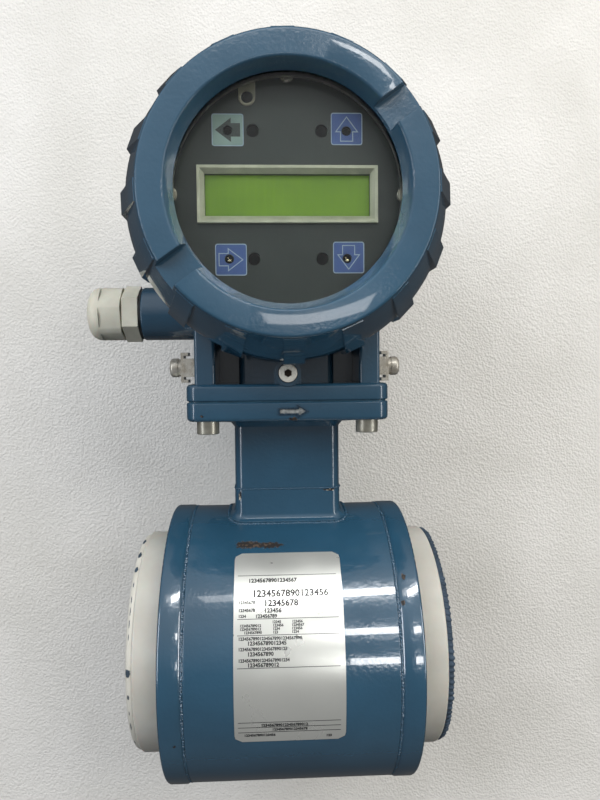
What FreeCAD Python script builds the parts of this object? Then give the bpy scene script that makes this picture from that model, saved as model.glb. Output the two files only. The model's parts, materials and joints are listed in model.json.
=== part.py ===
import FreeCAD, Part
import math
import os
import Sketcher
from FreeCAD import Placement, Rotation, Vector

# Electromagnetic flow meter: a wafer flow tube that is clamped between pipe flanges, with a
# round transmitter head bolted on its neck.  Millimetres.  The origin is the centre of the
# flow bore, +X is the flow direction, +Z runs up the neck, and the display faces -Y.

doc = FreeCAD.newDocument("FlowMeter")
sheet = doc.addObject("Spreadsheet::Sheet", "dims")

sizes = {
    # flow tube: DN80 bore in a 131 mm wafer body
    "boreRadius": 38.0, "linerRadius": 40.6, "pipeRadius": 43.6, "hubRadius": 48.2,
    "hubEnd": 65.8, "rimRadius": 52.5, "rimEnd": 69.8, "rimRound": 1.2, "rimBackRound": 2.6,
    "endRingRadius": 51.4, "endRingBore": 41.0, "endRingWide": 2.8, "endRingRound": 2.2,
    "bodyRadius": 65.65, "bodyHalf": 56.75, "shellWall": 3.0, "bandStep": 0.5,
    "bandStart": 48.2, "seamPlace": 46.4, "seamHalf": 0.8, "seamDeep": 0.9, "bodyEdge": 1.4,
    "seat": 0.1, "overlap": 1.0, "portRadius": 3.2, "wireHoleX": 15.0, "wireHoleY": 10.0,
    # magnet: saddle coils above and below the pipe, pole pieces and a return band
    "coilInner": 43.7, "coilOuter": 54.0, "coilHalf": 34.0, "coilAngle": 104.0,
    "windowHalf": 17.0, "windowAngle": 44.0, "poleOuter": 56.2, "poleHalf": 15.0,
    "poleAngle": 36.0, "yokeOuter": 58.5, "yokeHalf": 17.0,
    # electrodes on the Y axis
    "electrodeTip": 38.1, "electrodeRadius": 3.1, "electrodeNeck": 52.0, "studRadius": 1.5,
    "electrodeEnd": 56.0, "bushRadius": 6.5, "bushEnd": 51.0,
    # neck: welded stub below, cast sleeve and mounting plate above
    "stubX": 25.6, "stubY": 18.2, "stubCorner": 5.5, "stubTop": 78.1, "stubFoot": 40.0, "passageX": 20.0,
    "passageY": 13.0, "weldLeg": 4.0, "neckX": 25.4, "neckY": 17.9, "flareLow": 108.2,
    "flareMid": 110.7, "flareX": 27.4, "flareY": 20.6, "flareCorner": 7.5,
    "underX": 42.0, "plateHalf": 45.0, "plateCorner": 6.0, "adapterThick": 8.4,
    "plateUnder": 112.9, "plateThick": 7.5, "plateEdge": 1.8, "jointEdge": 0.7,
    "gasketThick": 0.6, "gasketInset": 1.0, "gasketClear": 2.0, "boltSpan": 36.0, "boltHole": 3.3,
    "spotRadius": 5.8,
    # transmitter housing
    "headHeight": 203.6, "barrelRadius": 60.0, "barrelFront": 50.5, "barrelRear": 56.0,
    "spigotRadius": 54.3, "spigotFront": 72.5, "spigotRear": 75.0, "chamberRadius": 50.0,
    "wallFront": 22.0, "wallRear": 16.0, "postOut": 41.2, "postIn": 32.0, "postEnd": 42.4,
    "postTop": 162.5, "postEdge": 1.6, "columnX": 22.5, "columnY": 24.0, "columnTop": 150.0,
    "columnCorner": 4.0, "wirePassage": 11.0, "coreY": 16.0, "coreTop": 156.0,
    "glandHeight": 164.0, "entryRadius": 13.0, "entryFace": 70.1, "entryRoot": 38.0,
    "entryHole": 10.3, "jamHeight": 134.1, "jamBoss": 5.9, "jamBossGap": 6.4,
    "jamSeat": 4.3, "jamSeatDeep": 1.5, "webEnd": 43.4,
    "jamHole": 2.7, "jamDepth": 18.0, "groundHeight": 137.0, "groundPlace": 4.0,
    "groundPad": 7.0, "groundPadOut": 43.6, "groundHole": 2.6, "groundDepth": 7.0,
    "tapRadius": 3.05, "tapDepth": 7.0,
    # covers
    "coverBack": 52.0, "coverFace": 90.0, "faceOuter": 56.0, "faceInner": 46.0,
    "windowRadius": 43.0, "shoulder": 83.6, "coneDeep": 23.0, "coverWall": 64.2,
    "glassPocket": 47.4, "retainPocket": 50.9, "cavityRadius": 54.7, "cavityEnd": 73.6,
    "grooveRadius": 57.9, "grooveDeep": 2.9, "lugRadius": 65.8, "lugHalf": 4.3,
    "lugRoot": 55.5, "lugShoulder": 56.9, "lugTop": 1.8, "lugSlope": 22.4, "lugCount": 16,
    "slotHalf": 5.3, "slotDeep": 5.0, "faceEdge": 1.2, "rearBack": 57.5, "rearFace": 90.0,
    "rearCavity": 77.0, "dishRadius": 44.0, "dishDeep": 2.5,
    "glassRadius": 47.0, "glassThick": 8.0, "glassSeal": 0.6, "sealInner": 43.4,
    "retainThick": 1.7, "retainGap": 0.3, "retainInner": 44.0, "ringMajor": 56.3, "ringMinor": 1.15,
    # display stack
    "panelRadius": 48.8, "panelFace": 71.2, "panelThick": 2.0, "lcdX": 32.25, "lcdY": 8.1,
    "lcdEdge": 2.0, "bezelX": 35.1, "bezelY": 11.0, "bezelFace": 73.2, "bezelBevel": 1.8,
    "sensorX": 13.4, "sensorY": 24.6, "sensorHole": 2.5, "keyX": 23.1, "keyHole": 1.9,
    "tabX": 15.4, "tabY": 37.1, "tabHole": 2.4, "screwCircle": 45.8, "screwHead": 3.0,
    "screwTop": 72.5, "boardRadius": 45.5, "boardFace": 66.4, "boardThick": 1.6,
    "moduleRadius": 47.0, "moduleFace": 61.5, "moduleStep": 41.0, "moduleLip": 3.0, "moduleGap": 0.3,
    # terminal block behind the dividing wall
    "blockX": 30.0, "blockY": 11.0, "blockDeep": 18.0, "ribCount": 7, "ribHalf": 0.9,
    "ribTall": 4.0, "terminalHead": 3.0, "terminalTall": 2.4,
    # cable gland, M20
    "glandFlats": 24.0, "glandThread": 10.1, "threadDeep": 0.5, "glandTail": 56.0, "washerThick": 1.2,
    "washerRadius": 12.4, "glandHexEnd": 78.9, "nutStart": 79.7, "nutEnd": 96.3,
    "nutRadius": 12.95, "nutBore": 9.6, "nutHole": 6.6, "nutInside": 92.7, "nutDome": 5.5,
    "nutFlatEnd": 90.0, "sleeveRadius": 9.2, "sleeveBore": 8.0, "sealRadius": 7.8,
    "sealBore": 5.0, "sealStart": 75.0, "sleeveEnd": 90.2, "sealEnd": 92.3,
    # screws and earthing hardware
    "capHead": 5.0, "capHeight": 6.0, "capShank": 2.95, "capLength": 14.5, "capFlats": 5.0,
    "capSocket": 3.0, "capEdge": 0.5, "jamHead": 4.0, "jamHeadTall": 5.0, "jamShank": 2.5,
    "jamLength": 15.0, "jamGap": 2.3, "jamFlats": 3.2, "jamSocket": 2.5,
    "clampZ": 4.6, "clampY": 5.6, "clampEnd": 51.1, "saddleZ": 7.6, "saddleY": 4.6,
    "saddleEnd": 52.6, "saddleEar": 2.2, "springOuter": 4.4, "springEnd": 54.3,
    "panHead": 4.8, "panEnd": 58.4, "panRound": 2.0, "earthShank": 2.5, "washerClear": 0.2,
    "saddleGap": 0.7, "earthTipGap": 0.5,
}
for row, (name, size) in enumerate(sizes.items(), start=1):
    sheet.set(f"A{row}", name)
    sheet.set(f"B{row}", str(size))
    sheet.setAlias(f"B{row}", name)
doc.recompute()

parts = {}   # node name: the document object that is exported under that name


def value(expression):
    return float(sheet.evalExpression(expression))


# ---- small helpers for sketches and features ------------------------------------------

def origin(body, role):
    return next(item for item in body.Origin.OriginFeatures if item.Role == role)


def newBody(label, axis=None, place=None, roll=0):
    """A body whose local Z axis points along axis, at a place given by three expressions."""
    body = doc.addObject("PartDesign::Body", "Body")
    body.Label = label
    if axis:
        aim = Rotation(Vector(0, 0, 1), Vector(*axis))
        body.Placement = Placement(Vector(), aim.multiply(Rotation(Vector(0, 0, 1), roll)))
    for letter, expression in zip("xyz", place or ()):
        if expression:
            body.setExpression(f"Placement.Base.{letter}", expression)
    parts[label] = body
    return body


def sketchOn(body, role, lift=None, right=None, up=None, turn=0):
    """A sketch on an origin plane, moved by expressions along its normal and its two axes.

    A turn, in degrees, swings an upright plane about the body's Z axis."""
    sketch = body.newObject("Sketcher::SketchObject", "Sketch")
    sketch.AttachmentSupport = [(origin(body, role), "")]
    sketch.MapMode = "FlatFace"
    if turn:
        sketch.AttachmentOffset = Placement(Vector(), Rotation(Vector(0, 1, 0), turn))
    for letter, expression in (("x", right), ("y", up), ("z", lift)):
        if expression:
            sketch.setExpression(f"AttachmentOffset.Base.{letter}", expression)
    return sketch


def bind(sketch, kind, where, expression):
    index = sketch.addConstraint(Sketcher.Constraint(kind, *where, value(expression)))
    sketch.setExpression(f"Constraints[{index}]", expression)


def outline(sketch, corners):
    """A closed outline of straight edges; each corner is a pair of expressions."""
    spots = [Vector(value(x), value(y), 0) for x, y in corners]
    first = sketch.GeometryCount
    count = len(spots)
    for number in range(count):
        sketch.addGeometry(Part.LineSegment(spots[number], spots[(number + 1) % count]))
    for number, (x, y) in enumerate(corners):
        edge = first + number
        following = first + (number + 1) % count
        sketch.addConstraint(Sketcher.Constraint("Coincident", edge, 2, following, 1))
        bind(sketch, "DistanceX", (edge, 1), x)
        bind(sketch, "DistanceY", (edge, 1), y)


def rectangle(sketch, x, y, centreX="0", centreY="0"):
    """A rectangle of half sizes x and y about a centre."""
    left, right = f"{centreX} - ({x})", f"{centreX} + {x}"
    low, high = f"{centreY} - ({y})", f"{centreY} + {y}"
    outline(sketch, [(left, low), (right, low), (right, high), (left, high)])


def disc(sketch, radius, x="0", y="0"):
    centre = Vector(value(x), value(y), 0)
    number = sketch.addGeometry(Part.Circle(centre, Vector(0, 0, 1), value(radius)))
    bind(sketch, "Radius", (number,), radius)
    bind(sketch, "DistanceX", (number, 3), x)
    bind(sketch, "DistanceY", (number, 3), y)


def hexagon(sketch, flats):
    """A hexagon about the origin, with two flats across the local X axis."""
    across = f"{flats} / 2"
    point = f"{flats} / 2 * tan(30 deg)"
    tip = f"{flats} / 2 / cos(30 deg)"
    outline(sketch, [(across, f"-({point})"), (across, point), ("0", tip),
                     (f"-({across})", point), (f"-({across})", f"-({point})"),
                     ("0", f"-({tip})")])


def roundedRectangle(sketch, x, y, corner):
    """A rectangle of half sizes x and y about the origin, with round corners."""
    first = sketch.GeometryCount
    insideX, insideY = f"{x} - ({corner})", f"{y} - ({corner})"
    ends = [((insideX, f"-({y})"), (x, f"-({insideY})"), 270),
            ((x, insideY), (insideX, y), 0),
            ((f"-({insideX})", y), (f"-({x})", insideY), 90),
            ((f"-({x})", f"-({insideY})"), (f"-({insideX})", f"-({y})"), 180)]
    radius = value(corner)
    for number, (start, finish, angle) in enumerate(ends):
        sideX = 1 if number in (0, 1) else -1
        sideY = 1 if number in (1, 2) else -1
        centre = Vector(sideX * value(insideX), sideY * value(insideY), 0)
        begin = math.radians(angle)
        circle = Part.Circle(centre, Vector(0, 0, 1), radius)
        sketch.addGeometry(Part.ArcOfCircle(circle, begin, begin + math.pi / 2))
    for number, (start, finish, angle) in enumerate(ends):
        following = ends[(number + 1) % 4][0]
        spots = [Vector(value(a), value(b), 0) for a, b in (finish, following)]
        sketch.addGeometry(Part.LineSegment(*spots))
    for number, (start, finish, angle) in enumerate(ends):
        arc, line = first + number, first + 4 + number
        nextArc = first + (number + 1) % 4
        sketch.addConstraint(Sketcher.Constraint("Coincident", arc, 2, line, 1))
        sketch.addConstraint(Sketcher.Constraint("Coincident", line, 2, nextArc, 1))
        bind(sketch, "Radius", (arc,), corner)
        for place, point in ((start, 1), (finish, 2)):
            bind(sketch, "DistanceX", (arc, point), place[0])
            bind(sketch, "DistanceY", (arc, point), place[1])


def loft(body, below, above):
    feature = body.newObject("PartDesign::AdditiveLoft", "Loft")
    feature.Profile = below
    feature.Sections = [above]
    doc.recompute()
    return feature


def pad(body, sketch, length, midplane=False, reverse=False):
    feature = body.newObject("PartDesign::Pad", "Pad")
    feature.Profile = sketch
    feature.Length = value(length)
    feature.setExpression("Length", length)
    feature.SideType = "Symmetric" if midplane else "One side"
    feature.Reversed = reverse
    doc.recompute()
    return feature


def cut(body, sketch, length, midplane=False, reverse=False):
    """A pocket; it has to take some material away."""
    before = body.Shape.Volume
    feature = body.newObject("PartDesign::Pocket", "Pocket")
    feature.Profile = sketch
    feature.Length = value(length)
    feature.setExpression("Length", length)
    feature.SideType = "Symmetric" if midplane else "One side"
    feature.Reversed = reverse
    doc.recompute()
    if body.Shape.Volume >= before - 0.01:
        raise RuntimeError(f"a pocket in {body.Label} cuts nothing")
    return feature


def revolve(body, corners, kind="PartDesign::Revolution"):
    """A ring about the local Z axis from an outline of (radius, height) expressions."""
    sketch = sketchOn(body, "XZ_Plane")
    outline(sketch, corners)
    feature = body.newObject(kind, "Turned")
    feature.Profile = sketch
    feature.ReferenceAxis = (sketch, ["V_Axis"])
    feature.Angle = 360
    doc.recompute()
    return feature


def turned(label, corners, axis, place=None):
    body = newBody(label, axis, place)
    revolve(body, corners)
    return body


def block(inner, outer, low, high):
    """The section of a plain ring or disc."""
    return [(inner, low), (outer, low), (outer, high), (inner, high)]


def repeat(body, feature, count, role="Z_Axis"):
    pattern = body.newObject("PartDesign::PolarPattern", "Pattern")
    pattern.Originals = [feature]
    pattern.Axis = (origin(body, role), [""])
    pattern.Angle = 360
    pattern.Occurrences = int(value(count))
    body.Tip = pattern
    doc.recompute()
    return pattern


def circlesAt(shape, radius, height):
    """Names of the circles about the local Z axis that have this radius and height."""
    found = []
    for number, edge in enumerate(shape.Edges, start=1):
        curve = edge.Curve
        if not isinstance(curve, Part.Circle) or abs(curve.Axis.z) < 0.99:
            continue
        if abs(curve.Radius - radius) < 0.02 and abs(curve.Center.z - height) < 0.02:
            found.append(f"Edge{number}")
    return found


def uprights(shape, low, high, x=None, y=None):
    """Names of the straight edges that run along Z between two heights, at |x| and |y|."""
    found = []
    for number, edge in enumerate(shape.Edges, start=1):
        box = edge.BoundBox
        if box.XLength > 0.01 or box.YLength > 0.01 or box.ZLength < 0.5:
            continue
        if box.ZMin < low - 0.02 or box.ZMax > high + 0.02:
            continue
        if x is not None and abs(abs(box.XMin) - x) > 0.02:
            continue
        if y is not None and abs(abs(box.YMin) - y) > 0.02:
            continue
        found.append(f"Edge{number}")
    return found


def soften(body, edges, size, kind="PartDesign::Fillet"):
    if not edges:
        raise RuntimeError(f"no edge to soften on {body.Label}")
    base = body.Tip
    feature = body.newObject(kind, "Soft")
    feature.Base = (base, edges)
    name = "Radius" if kind.endswith("Fillet") else "Size"
    setattr(feature, name, value(size))
    feature.setExpression(name, size)
    doc.recompute()
    return feature


def softenRings(body, size, *rings, kind="PartDesign::Fillet"):
    """Round or chamfer the circular edges given as (radius, height) expressions."""
    edges = []
    for radius, height in rings:
        edges += circlesAt(body.Tip.Shape, value(radius), value(height))
    return soften(body, edges, size, kind)


alongX, alongY, alongZ = (1, 0, 0), (0, 1, 0), (0, 0, 1)
backX, backY, backZ = (-1, 0, 0), (0, -1, 0), (0, 0, -1)


# ---- flow tube ------------------------------------------------------------------------

def bothEnds(outwards, inwards=()):
    """A section that is the same at both ends, listed from the middle outwards and back."""
    half = list(outwards) + list(inwards)
    return half + [(radius, f"-({height})") for radius, height in reversed(half)]


def cutPorts(body):
    """Electrode ports through the wall of a body that is turned about X."""
    ports = sketchOn(body, "XZ_Plane")
    disc(ports, "dims.portRadius")
    cut(body, ports, "dims.bodyRadius * 4", midplane=True)


def buildFlowPipe():
    body = newBody("flow_pipe", alongX)
    revolve(body, bothEnds([
        ("dims.pipeRadius", "1"), ("dims.pipeRadius", "dims.bodyHalf + dims.seat"),
        ("dims.hubRadius", "dims.bodyHalf + dims.seat"), ("dims.hubRadius", "dims.hubEnd"),
        ("dims.linerRadius + dims.seat", "dims.hubEnd")]))
    cutPorts(body)


def buildLiner():
    """The liner lines the pipe and is flared over both hubs into round-edged sealing rims."""
    back = "dims.bodyHalf + dims.seat"
    body = newBody("ptfe_liner", alongX)
    revolve(body, bothEnds([
        ("dims.linerRadius", "1"), ("dims.linerRadius", "dims.hubEnd + dims.seat"),
        ("dims.hubRadius + dims.seat", "dims.hubEnd + dims.seat"),
        ("dims.hubRadius + dims.seat", back), ("dims.rimRadius", back),
        ("dims.rimRadius", "dims.rimEnd"), ("dims.boreRadius", "dims.rimEnd")]))
    softenRings(body, "dims.rimRound", ("dims.rimRadius", "dims.rimEnd"),
                ("dims.rimRadius", "-dims.rimEnd"))
    softenRings(body, "dims.rimBackRound", ("dims.rimRadius", back),
                ("dims.rimRadius", f"-({back})"))
    cutPorts(body)


def buildEndRings():
    face = "dims.rimEnd + dims.endRingWide"
    section = block("dims.endRingBore", "dims.endRingRadius", "dims.rimEnd", face)
    for label, axis in (("outlet_end_ring", alongX), ("inlet_end_ring", backX)):
        softenRings(turned(label, section, axis), "dims.endRingRound",
                    ("dims.endRingRadius", face))


def buildShell():
    """Outer sleeve with weld seams and slightly proud end bands, closed by end plates."""
    band = "dims.bodyRadius + dims.bandStep"
    body = newBody("body_shell", alongX)
    revolve(body, bothEnds([
        ("dims.bodyRadius", "1"), ("dims.bodyRadius", "dims.seamPlace - dims.seamHalf"),
        ("dims.bodyRadius - dims.seamDeep", "dims.seamPlace"),
        ("dims.bodyRadius", "dims.seamPlace + dims.seamHalf"), (band, "dims.bandStart"),
        (band, "dims.bodyHalf"), ("dims.pipeRadius + dims.seat", "dims.bodyHalf"),
        ("dims.pipeRadius + dims.seat", "dims.bodyHalf - dims.shellWall"),
        ("dims.bodyRadius - dims.shellWall", "dims.bodyHalf - dims.shellWall")]))
    softenRings(body, "dims.bodyEdge", (band, "dims.bodyHalf"), (band, "-dims.bodyHalf"))
    window = sketchOn(body, "YZ_Plane")   # the wire hole, in the shell's top
    rectangle(window, "dims.wireHoleY", "dims.wireHoleX")
    cut(body, window, "dims.bodyRadius + 2 * dims.overlap")


# ---- magnet and electrodes, inside the shell --------------------------------------------

def sector(inner, outer, half, angle, centre):
    """A slice of a ring about the bore; centre is +1 for the top and -1 for the bottom."""
    pieces = []
    for radius in (outer, inner):
        piece = doc.addObject("Part::Cylinder", "Slice")
        piece.setExpression("Radius", radius)
        piece.setExpression("Height", f"2 * {half}")
        piece.setExpression("Angle", angle)
        start = (180 if centre > 0 else 0) - value(angle) / 2
        aim = Rotation(Vector(1, 0, 0), start)
        piece.Placement.Rotation = aim.multiply(Rotation(Vector(0, 0, 1), Vector(1, 0, 0)))
        piece.setExpression("Placement.Base.x", f"-{half}")
        pieces.append(piece)
    pieces[1].Angle = 360
    pieces[1].setExpression("Angle", None)
    return subtract(*pieces)


def subtract(base, tool, label=None):
    result = doc.addObject("Part::Cut", "Cut")
    result.Base, result.Tool = base, tool
    doc.recompute()
    if label:
        result.Label = label
        parts[label] = result
    return result


def buildMagnet():
    for side, centre in (("upper", 1), ("lower", -1)):
        winding = sector("dims.coilInner", "dims.coilOuter", "dims.coilHalf",
                         "dims.coilAngle", centre)
        window = sector("dims.coilInner - dims.overlap",
                        "dims.coilOuter + dims.overlap", "dims.windowHalf",
                        "dims.windowAngle", centre)
        subtract(winding, window, f"{side}_coil")
        pole = sector("dims.coilInner", "dims.poleOuter", "dims.poleHalf",
                      "dims.poleAngle", centre)
        pole.Label = f"{side}_pole_piece"
        parts[pole.Label] = pole
    turned("magnet_yoke", block("dims.poleOuter + dims.seat / 2", "dims.yokeOuter",
                                "-dims.yokeHalf", "dims.yokeHalf"), alongX)


def buildElectrodes():
    pin = [("0", "dims.electrodeTip"), ("dims.electrodeRadius", "dims.electrodeTip"),
           ("dims.electrodeRadius", "dims.electrodeNeck"),
           ("dims.studRadius", "dims.electrodeNeck"), ("dims.studRadius", "dims.electrodeEnd"),
           ("0", "dims.electrodeEnd")]
    bush = block("dims.electrodeRadius + dims.seat / 2", "dims.bushRadius",
                 "dims.pipeRadius + dims.seat", "dims.bushEnd")
    for side, axis in (("front", backY), ("rear", alongY)):
        body = turned(f"{side}_electrode", pin, axis)
        softenRings(body, "0.8", ("dims.electrodeRadius", "dims.electrodeTip"))
        turned(f"{side}_electrode_bush", bush, axis)


# ---- neck -----------------------------------------------------------------------------

def primitive(kind, sizes, place, rotation=None):
    """A Part primitive with its sizes and place bound to expressions."""
    item = doc.addObject(kind, "Primitive")
    if rotation:
        item.Placement.Rotation = rotation
    for name, expression in sizes.items():
        item.setExpression(name, expression)
    for letter, expression in zip("xyz", place):
        item.setExpression(f"Placement.Base.{letter}", expression)
    return item


def buildNeckStub():
    """A rectangular tube on the shell's crown, with the weld fillet where they meet."""
    stub = primitive("Part::Box", {"Length": "2 * dims.stubX", "Width": "2 * dims.stubY",
                                   "Height": "dims.stubTop - dims.stubFoot"},
                     ("-dims.stubX", "-dims.stubY", "dims.stubFoot"))
    doc.recompute()
    corners = doc.addObject("Part::Fillet", "StubCorners")
    corners.Base = stub
    radius = value("dims.stubCorner")
    names = uprights(stub.Shape, 40, value("dims.stubTop"))
    corners.Edges = [(int(name[4:]), radius, radius) for name in names]
    crown = primitive("Part::Cylinder", {"Radius": "dims.bodyRadius", "Height": "90"},
                      ("-45", "0", "0"), Rotation(Vector(0, 0, 1), Vector(1, 0, 0)))
    joined = doc.addObject("Part::Fuse", "StubOnCrown")
    joined.Base, joined.Tool = crown, corners
    doc.recompute()
    crownRadius = value("dims.bodyRadius")
    seam = []
    for number, edge in enumerate(joined.Shape.Edges, start=1):
        box = edge.BoundBox
        spot = edge.valueAt((edge.FirstParameter + edge.LastParameter) / 2)
        onCrown = abs(math.hypot(spot.y, spot.z) - crownRadius) < 0.05
        if onCrown and box.ZMin > 60 and abs(spot.x) < 26:
            seam.append(number)
    weld = doc.addObject("Part::Fillet", "Weld")
    weld.Base = joined
    leg = value("dims.weldLeg")
    weld.Edges = [(number, leg, leg) for number in seam]
    passage = primitive("Part::Box", {"Length": "2 * dims.passageX",
                                      "Width": "2 * dims.passageY", "Height": "90"},
                        ("-dims.passageX", "-dims.passageY", "0"))
    subtract(subtract(weld, crown), passage, "neck_stub")


def buildAdapter():
    """Cast neck sleeve that flares into the square plate under the transmitter."""
    body = newBody("adapter_flange")
    sleeve = sketchOn(body, "XY_Plane", lift="dims.stubTop")
    roundedRectangle(sleeve, "dims.neckX", "dims.neckY", "dims.stubCorner")
    pad(body, sleeve, "dims.flareLow - dims.stubTop")
    levels = (("dims.flareLow", "dims.neckX", "dims.neckY", "dims.stubCorner"),
              ("dims.flareMid", "dims.flareX", "dims.flareY", "dims.flareCorner"),
              ("dims.plateUnder", "dims.underX", "dims.underX", "dims.flareCorner"))
    for lower, upper in zip(levels, levels[1:]):
        sections = []
        for height, x, y, corner in (lower, upper):
            section = sketchOn(body, "XY_Plane", lift=height)
            roundedRectangle(section, x, y, corner)
            sections.append(section)
        loft(body, *sections)
    plate = sketchOn(body, "XY_Plane", lift="dims.plateUnder")
    roundedRectangle(plate, "dims.plateHalf", "dims.plateHalf", "dims.plateCorner")
    pad(body, plate, "dims.adapterThick")
    softenPlate(body, "dims.plateUnder", "dims.plateEdge")
    softenPlate(body, "dims.plateUnder + dims.adapterThick", "dims.jointEdge")
    passage = sketchOn(body, "XY_Plane", lift="dims.stubTop")
    rectangle(passage, "dims.passageX", "dims.passageY")
    cut(body, passage, "60", reverse=True)
    for radius, lift, length in (("dims.boltHole", "dims.flareLow", "30"),
                                 ("dims.spotRadius", "dims.flareLow",
                                  "dims.plateUnder - dims.flareLow")):
        holes = sketchOn(body, "XY_Plane", lift=lift)
        for x, y in boltPlaces():
            disc(holes, radius, x, y)
        cut(body, holes, length, reverse=True)
    return body


def softenPlate(body, height, size):
    """Round the outer rim of a square plate at a height."""
    level, reach = value(height), value("dims.plateHalf - dims.plateCorner")
    edges = []
    for number, edge in enumerate(body.Tip.Shape.Edges, start=1):
        box = edge.BoundBox
        flat = max(abs(box.ZMin - level), abs(box.ZMax - level)) < 0.02
        far = max(abs(box.XMin), abs(box.XMax), abs(box.YMin), abs(box.YMax))
        inner = max(abs(box.Center.x), abs(box.Center.y))
        if flat and far > value("dims.plateHalf") - 0.1 and inner > reach:
            edges.append(f"Edge{number}")
    soften(body, edges, size)


def boltPlaces():
    """The four corners of the plate's bolt square."""
    near, far = "-dims.boltSpan", "dims.boltSpan"
    return [(near, near), (far, near), (near, far), (far, far)]


def buildGasket():
    body = newBody("base_gasket")
    sheetShape = sketchOn(body, "XY_Plane", lift="dims.plateUnder + dims.adapterThick")
    roundedRectangle(sheetShape, "dims.plateHalf - dims.gasketInset",
                     "dims.plateHalf - dims.gasketInset", "dims.plateCorner - dims.gasketInset")
    disc(sheetShape, "dims.wirePassage + dims.gasketClear")
    for x, y in boltPlaces():
        disc(sheetShape, "dims.boltHole", x, y)
    pad(body, sheetShape, "dims.gasketThick")


# ---- transmitter housing ----------------------------------------------------------------

def buildHousing():
    """One casting: barrel, pedestal, base plate, cable entry and bosses."""
    body = newBody("transmitter_housing")
    addBarrel(body)
    addPedestal(body)
    addEntry(body)
    addJamBosses(body)
    addEarthPads(body)
    cutPassages(body)


def addBarrel(body):
    """Round two-chamber barrel, with a threaded spigot at each end for a cover."""
    section = sketchOn(body, "YZ_Plane", up="dims.headHeight")
    chamber, wall, spigot = "dims.chamberRadius", "dims.barrelRadius", "dims.spigotRadius"
    outline(section, [
        ("-dims.spigotFront", chamber), ("-dims.spigotFront", spigot),
        ("-dims.barrelFront", spigot), ("-dims.barrelFront", wall),
        ("dims.barrelRear", wall), ("dims.barrelRear", spigot), ("dims.spigotRear", spigot),
        ("dims.spigotRear", chamber), ("-dims.wallRear", chamber), ("-dims.wallRear", "0"),
        ("-dims.wallFront", "0"), ("-dims.wallFront", chamber)])
    barrel = body.newObject("PartDesign::Revolution", "Barrel")
    barrel.Profile = section
    barrel.ReferenceAxis = (section, ["H_Axis"])
    barrel.Angle = 360
    doc.recompute()


def addPedestal(body):
    """Base plate, two side walls that end in the front posts, and the central column."""
    base = "dims.plateUnder + dims.adapterThick + dims.gasketThick"
    top = f"{base} + dims.plateThick"
    plate = sketchOn(body, "XY_Plane", lift=base)
    roundedRectangle(plate, "dims.plateHalf", "dims.plateHalf", "dims.plateCorner")
    pad(body, plate, "dims.plateThick")
    softenPlate(body, base, "dims.jointEdge")
    softenPlate(body, top, "dims.plateEdge")
    walls = sketchOn(body, "XY_Plane", lift=f"{top} - dims.overlap")
    for side in ("", "-"):
        middle = f"{side}(dims.postOut + dims.postIn) / 2"
        rectangle(walls, "(dims.postOut - dims.postIn) / 2", "dims.postEnd", middle)
    pad(body, walls, f"dims.postTop - ({top}) + dims.overlap")
    column = sketchOn(body, "XY_Plane", lift=f"{top} - dims.overlap")
    roundedRectangle(column, "dims.columnX", "dims.columnY", "dims.columnCorner")
    pad(body, column, f"dims.columnTop - ({top}) + dims.overlap")
    core = sketchOn(body, "XY_Plane", lift=f"{top} - dims.overlap")
    rectangle(core, "dims.postIn + dims.overlap", "dims.coreY")
    pad(body, core, f"dims.coreTop - ({top}) + dims.overlap")
    low, high = value(top), value("dims.postTop")
    soften(body, uprights(body.Tip.Shape, low, high, y=value("dims.postEnd")),
           "dims.postEdge")


def addEntry(body):
    """Round boss for the cable gland, on the left."""
    boss = sketchOn(body, "YZ_Plane", lift="-dims.entryFace")
    disc(boss, "dims.entryRadius", "0", "dims.glandHeight")
    pad(body, boss, "dims.entryFace - dims.entryRoot")
    softenEnds(body, "dims.entryRadius", "-dims.entryFace", "1")
    hole = sketchOn(body, "YZ_Plane", lift="-dims.entryFace")
    disc(hole, "dims.entryHole", "0", "dims.glandHeight")
    cut(body, hole, "dims.entryFace - dims.entryRoot + 10", reverse=True)


def softenEnds(body, radius, place, size):
    """Round the rim of a boss that points along X and ends at a place."""
    edges = []
    for number, edge in enumerate(body.Tip.Shape.Edges, start=1):
        curve = edge.Curve
        if isinstance(curve, Part.Circle) and abs(curve.Axis.x) > 0.99:
            same = abs(curve.Radius - value(radius)) < 0.02
            if same and abs(curve.Center.x - value(place)) < 0.02:
                edges.append(f"Edge{number}")
    soften(body, edges, size)


def addJamBosses(body):
    """A boss under each cover for the screw that locks it, with a web down to the plate."""
    root = "dims.columnY - dims.overlap"
    low = "dims.plateUnder + dims.adapterThick + dims.gasketThick + dims.plateThick - dims.overlap"
    for back, turnedRound in (("dims.coverBack", False), ("dims.rearBack", True)):
        lift = f"-({root})" if turnedRound else root
        end = f"{back} - dims.jamBossGap"
        boss = sketchOn(body, "XZ_Plane", lift=lift)
        disc(boss, "dims.jamBoss", "0", "dims.jamHeight")
        pad(body, boss, f"{end} - ({root})", reverse=turnedRound)
        web = sketchOn(body, "XZ_Plane", lift=lift)
        rectangle(web, "dims.jamBoss", f"(dims.jamHeight - ({low})) / 2", "0",
                  f"(dims.jamHeight + ({low})) / 2")
        pad(body, web, f"dims.webEnd - ({root})", reverse=turnedRound)
        hole = sketchOn(body, "XZ_Plane", lift=f"-({end})" if turnedRound else end)
        disc(hole, "dims.jamHole", "0", "dims.jamHeight")
        cut(body, hole, "dims.jamDepth", reverse=turnedRound)
        seat = sketchOn(body, "XZ_Plane", lift=f"-({end})" if turnedRound else end)
        disc(seat, "dims.jamSeat", "0", "dims.jamHeight")
        cut(body, seat, "dims.jamSeatDeep", reverse=turnedRound)


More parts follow.
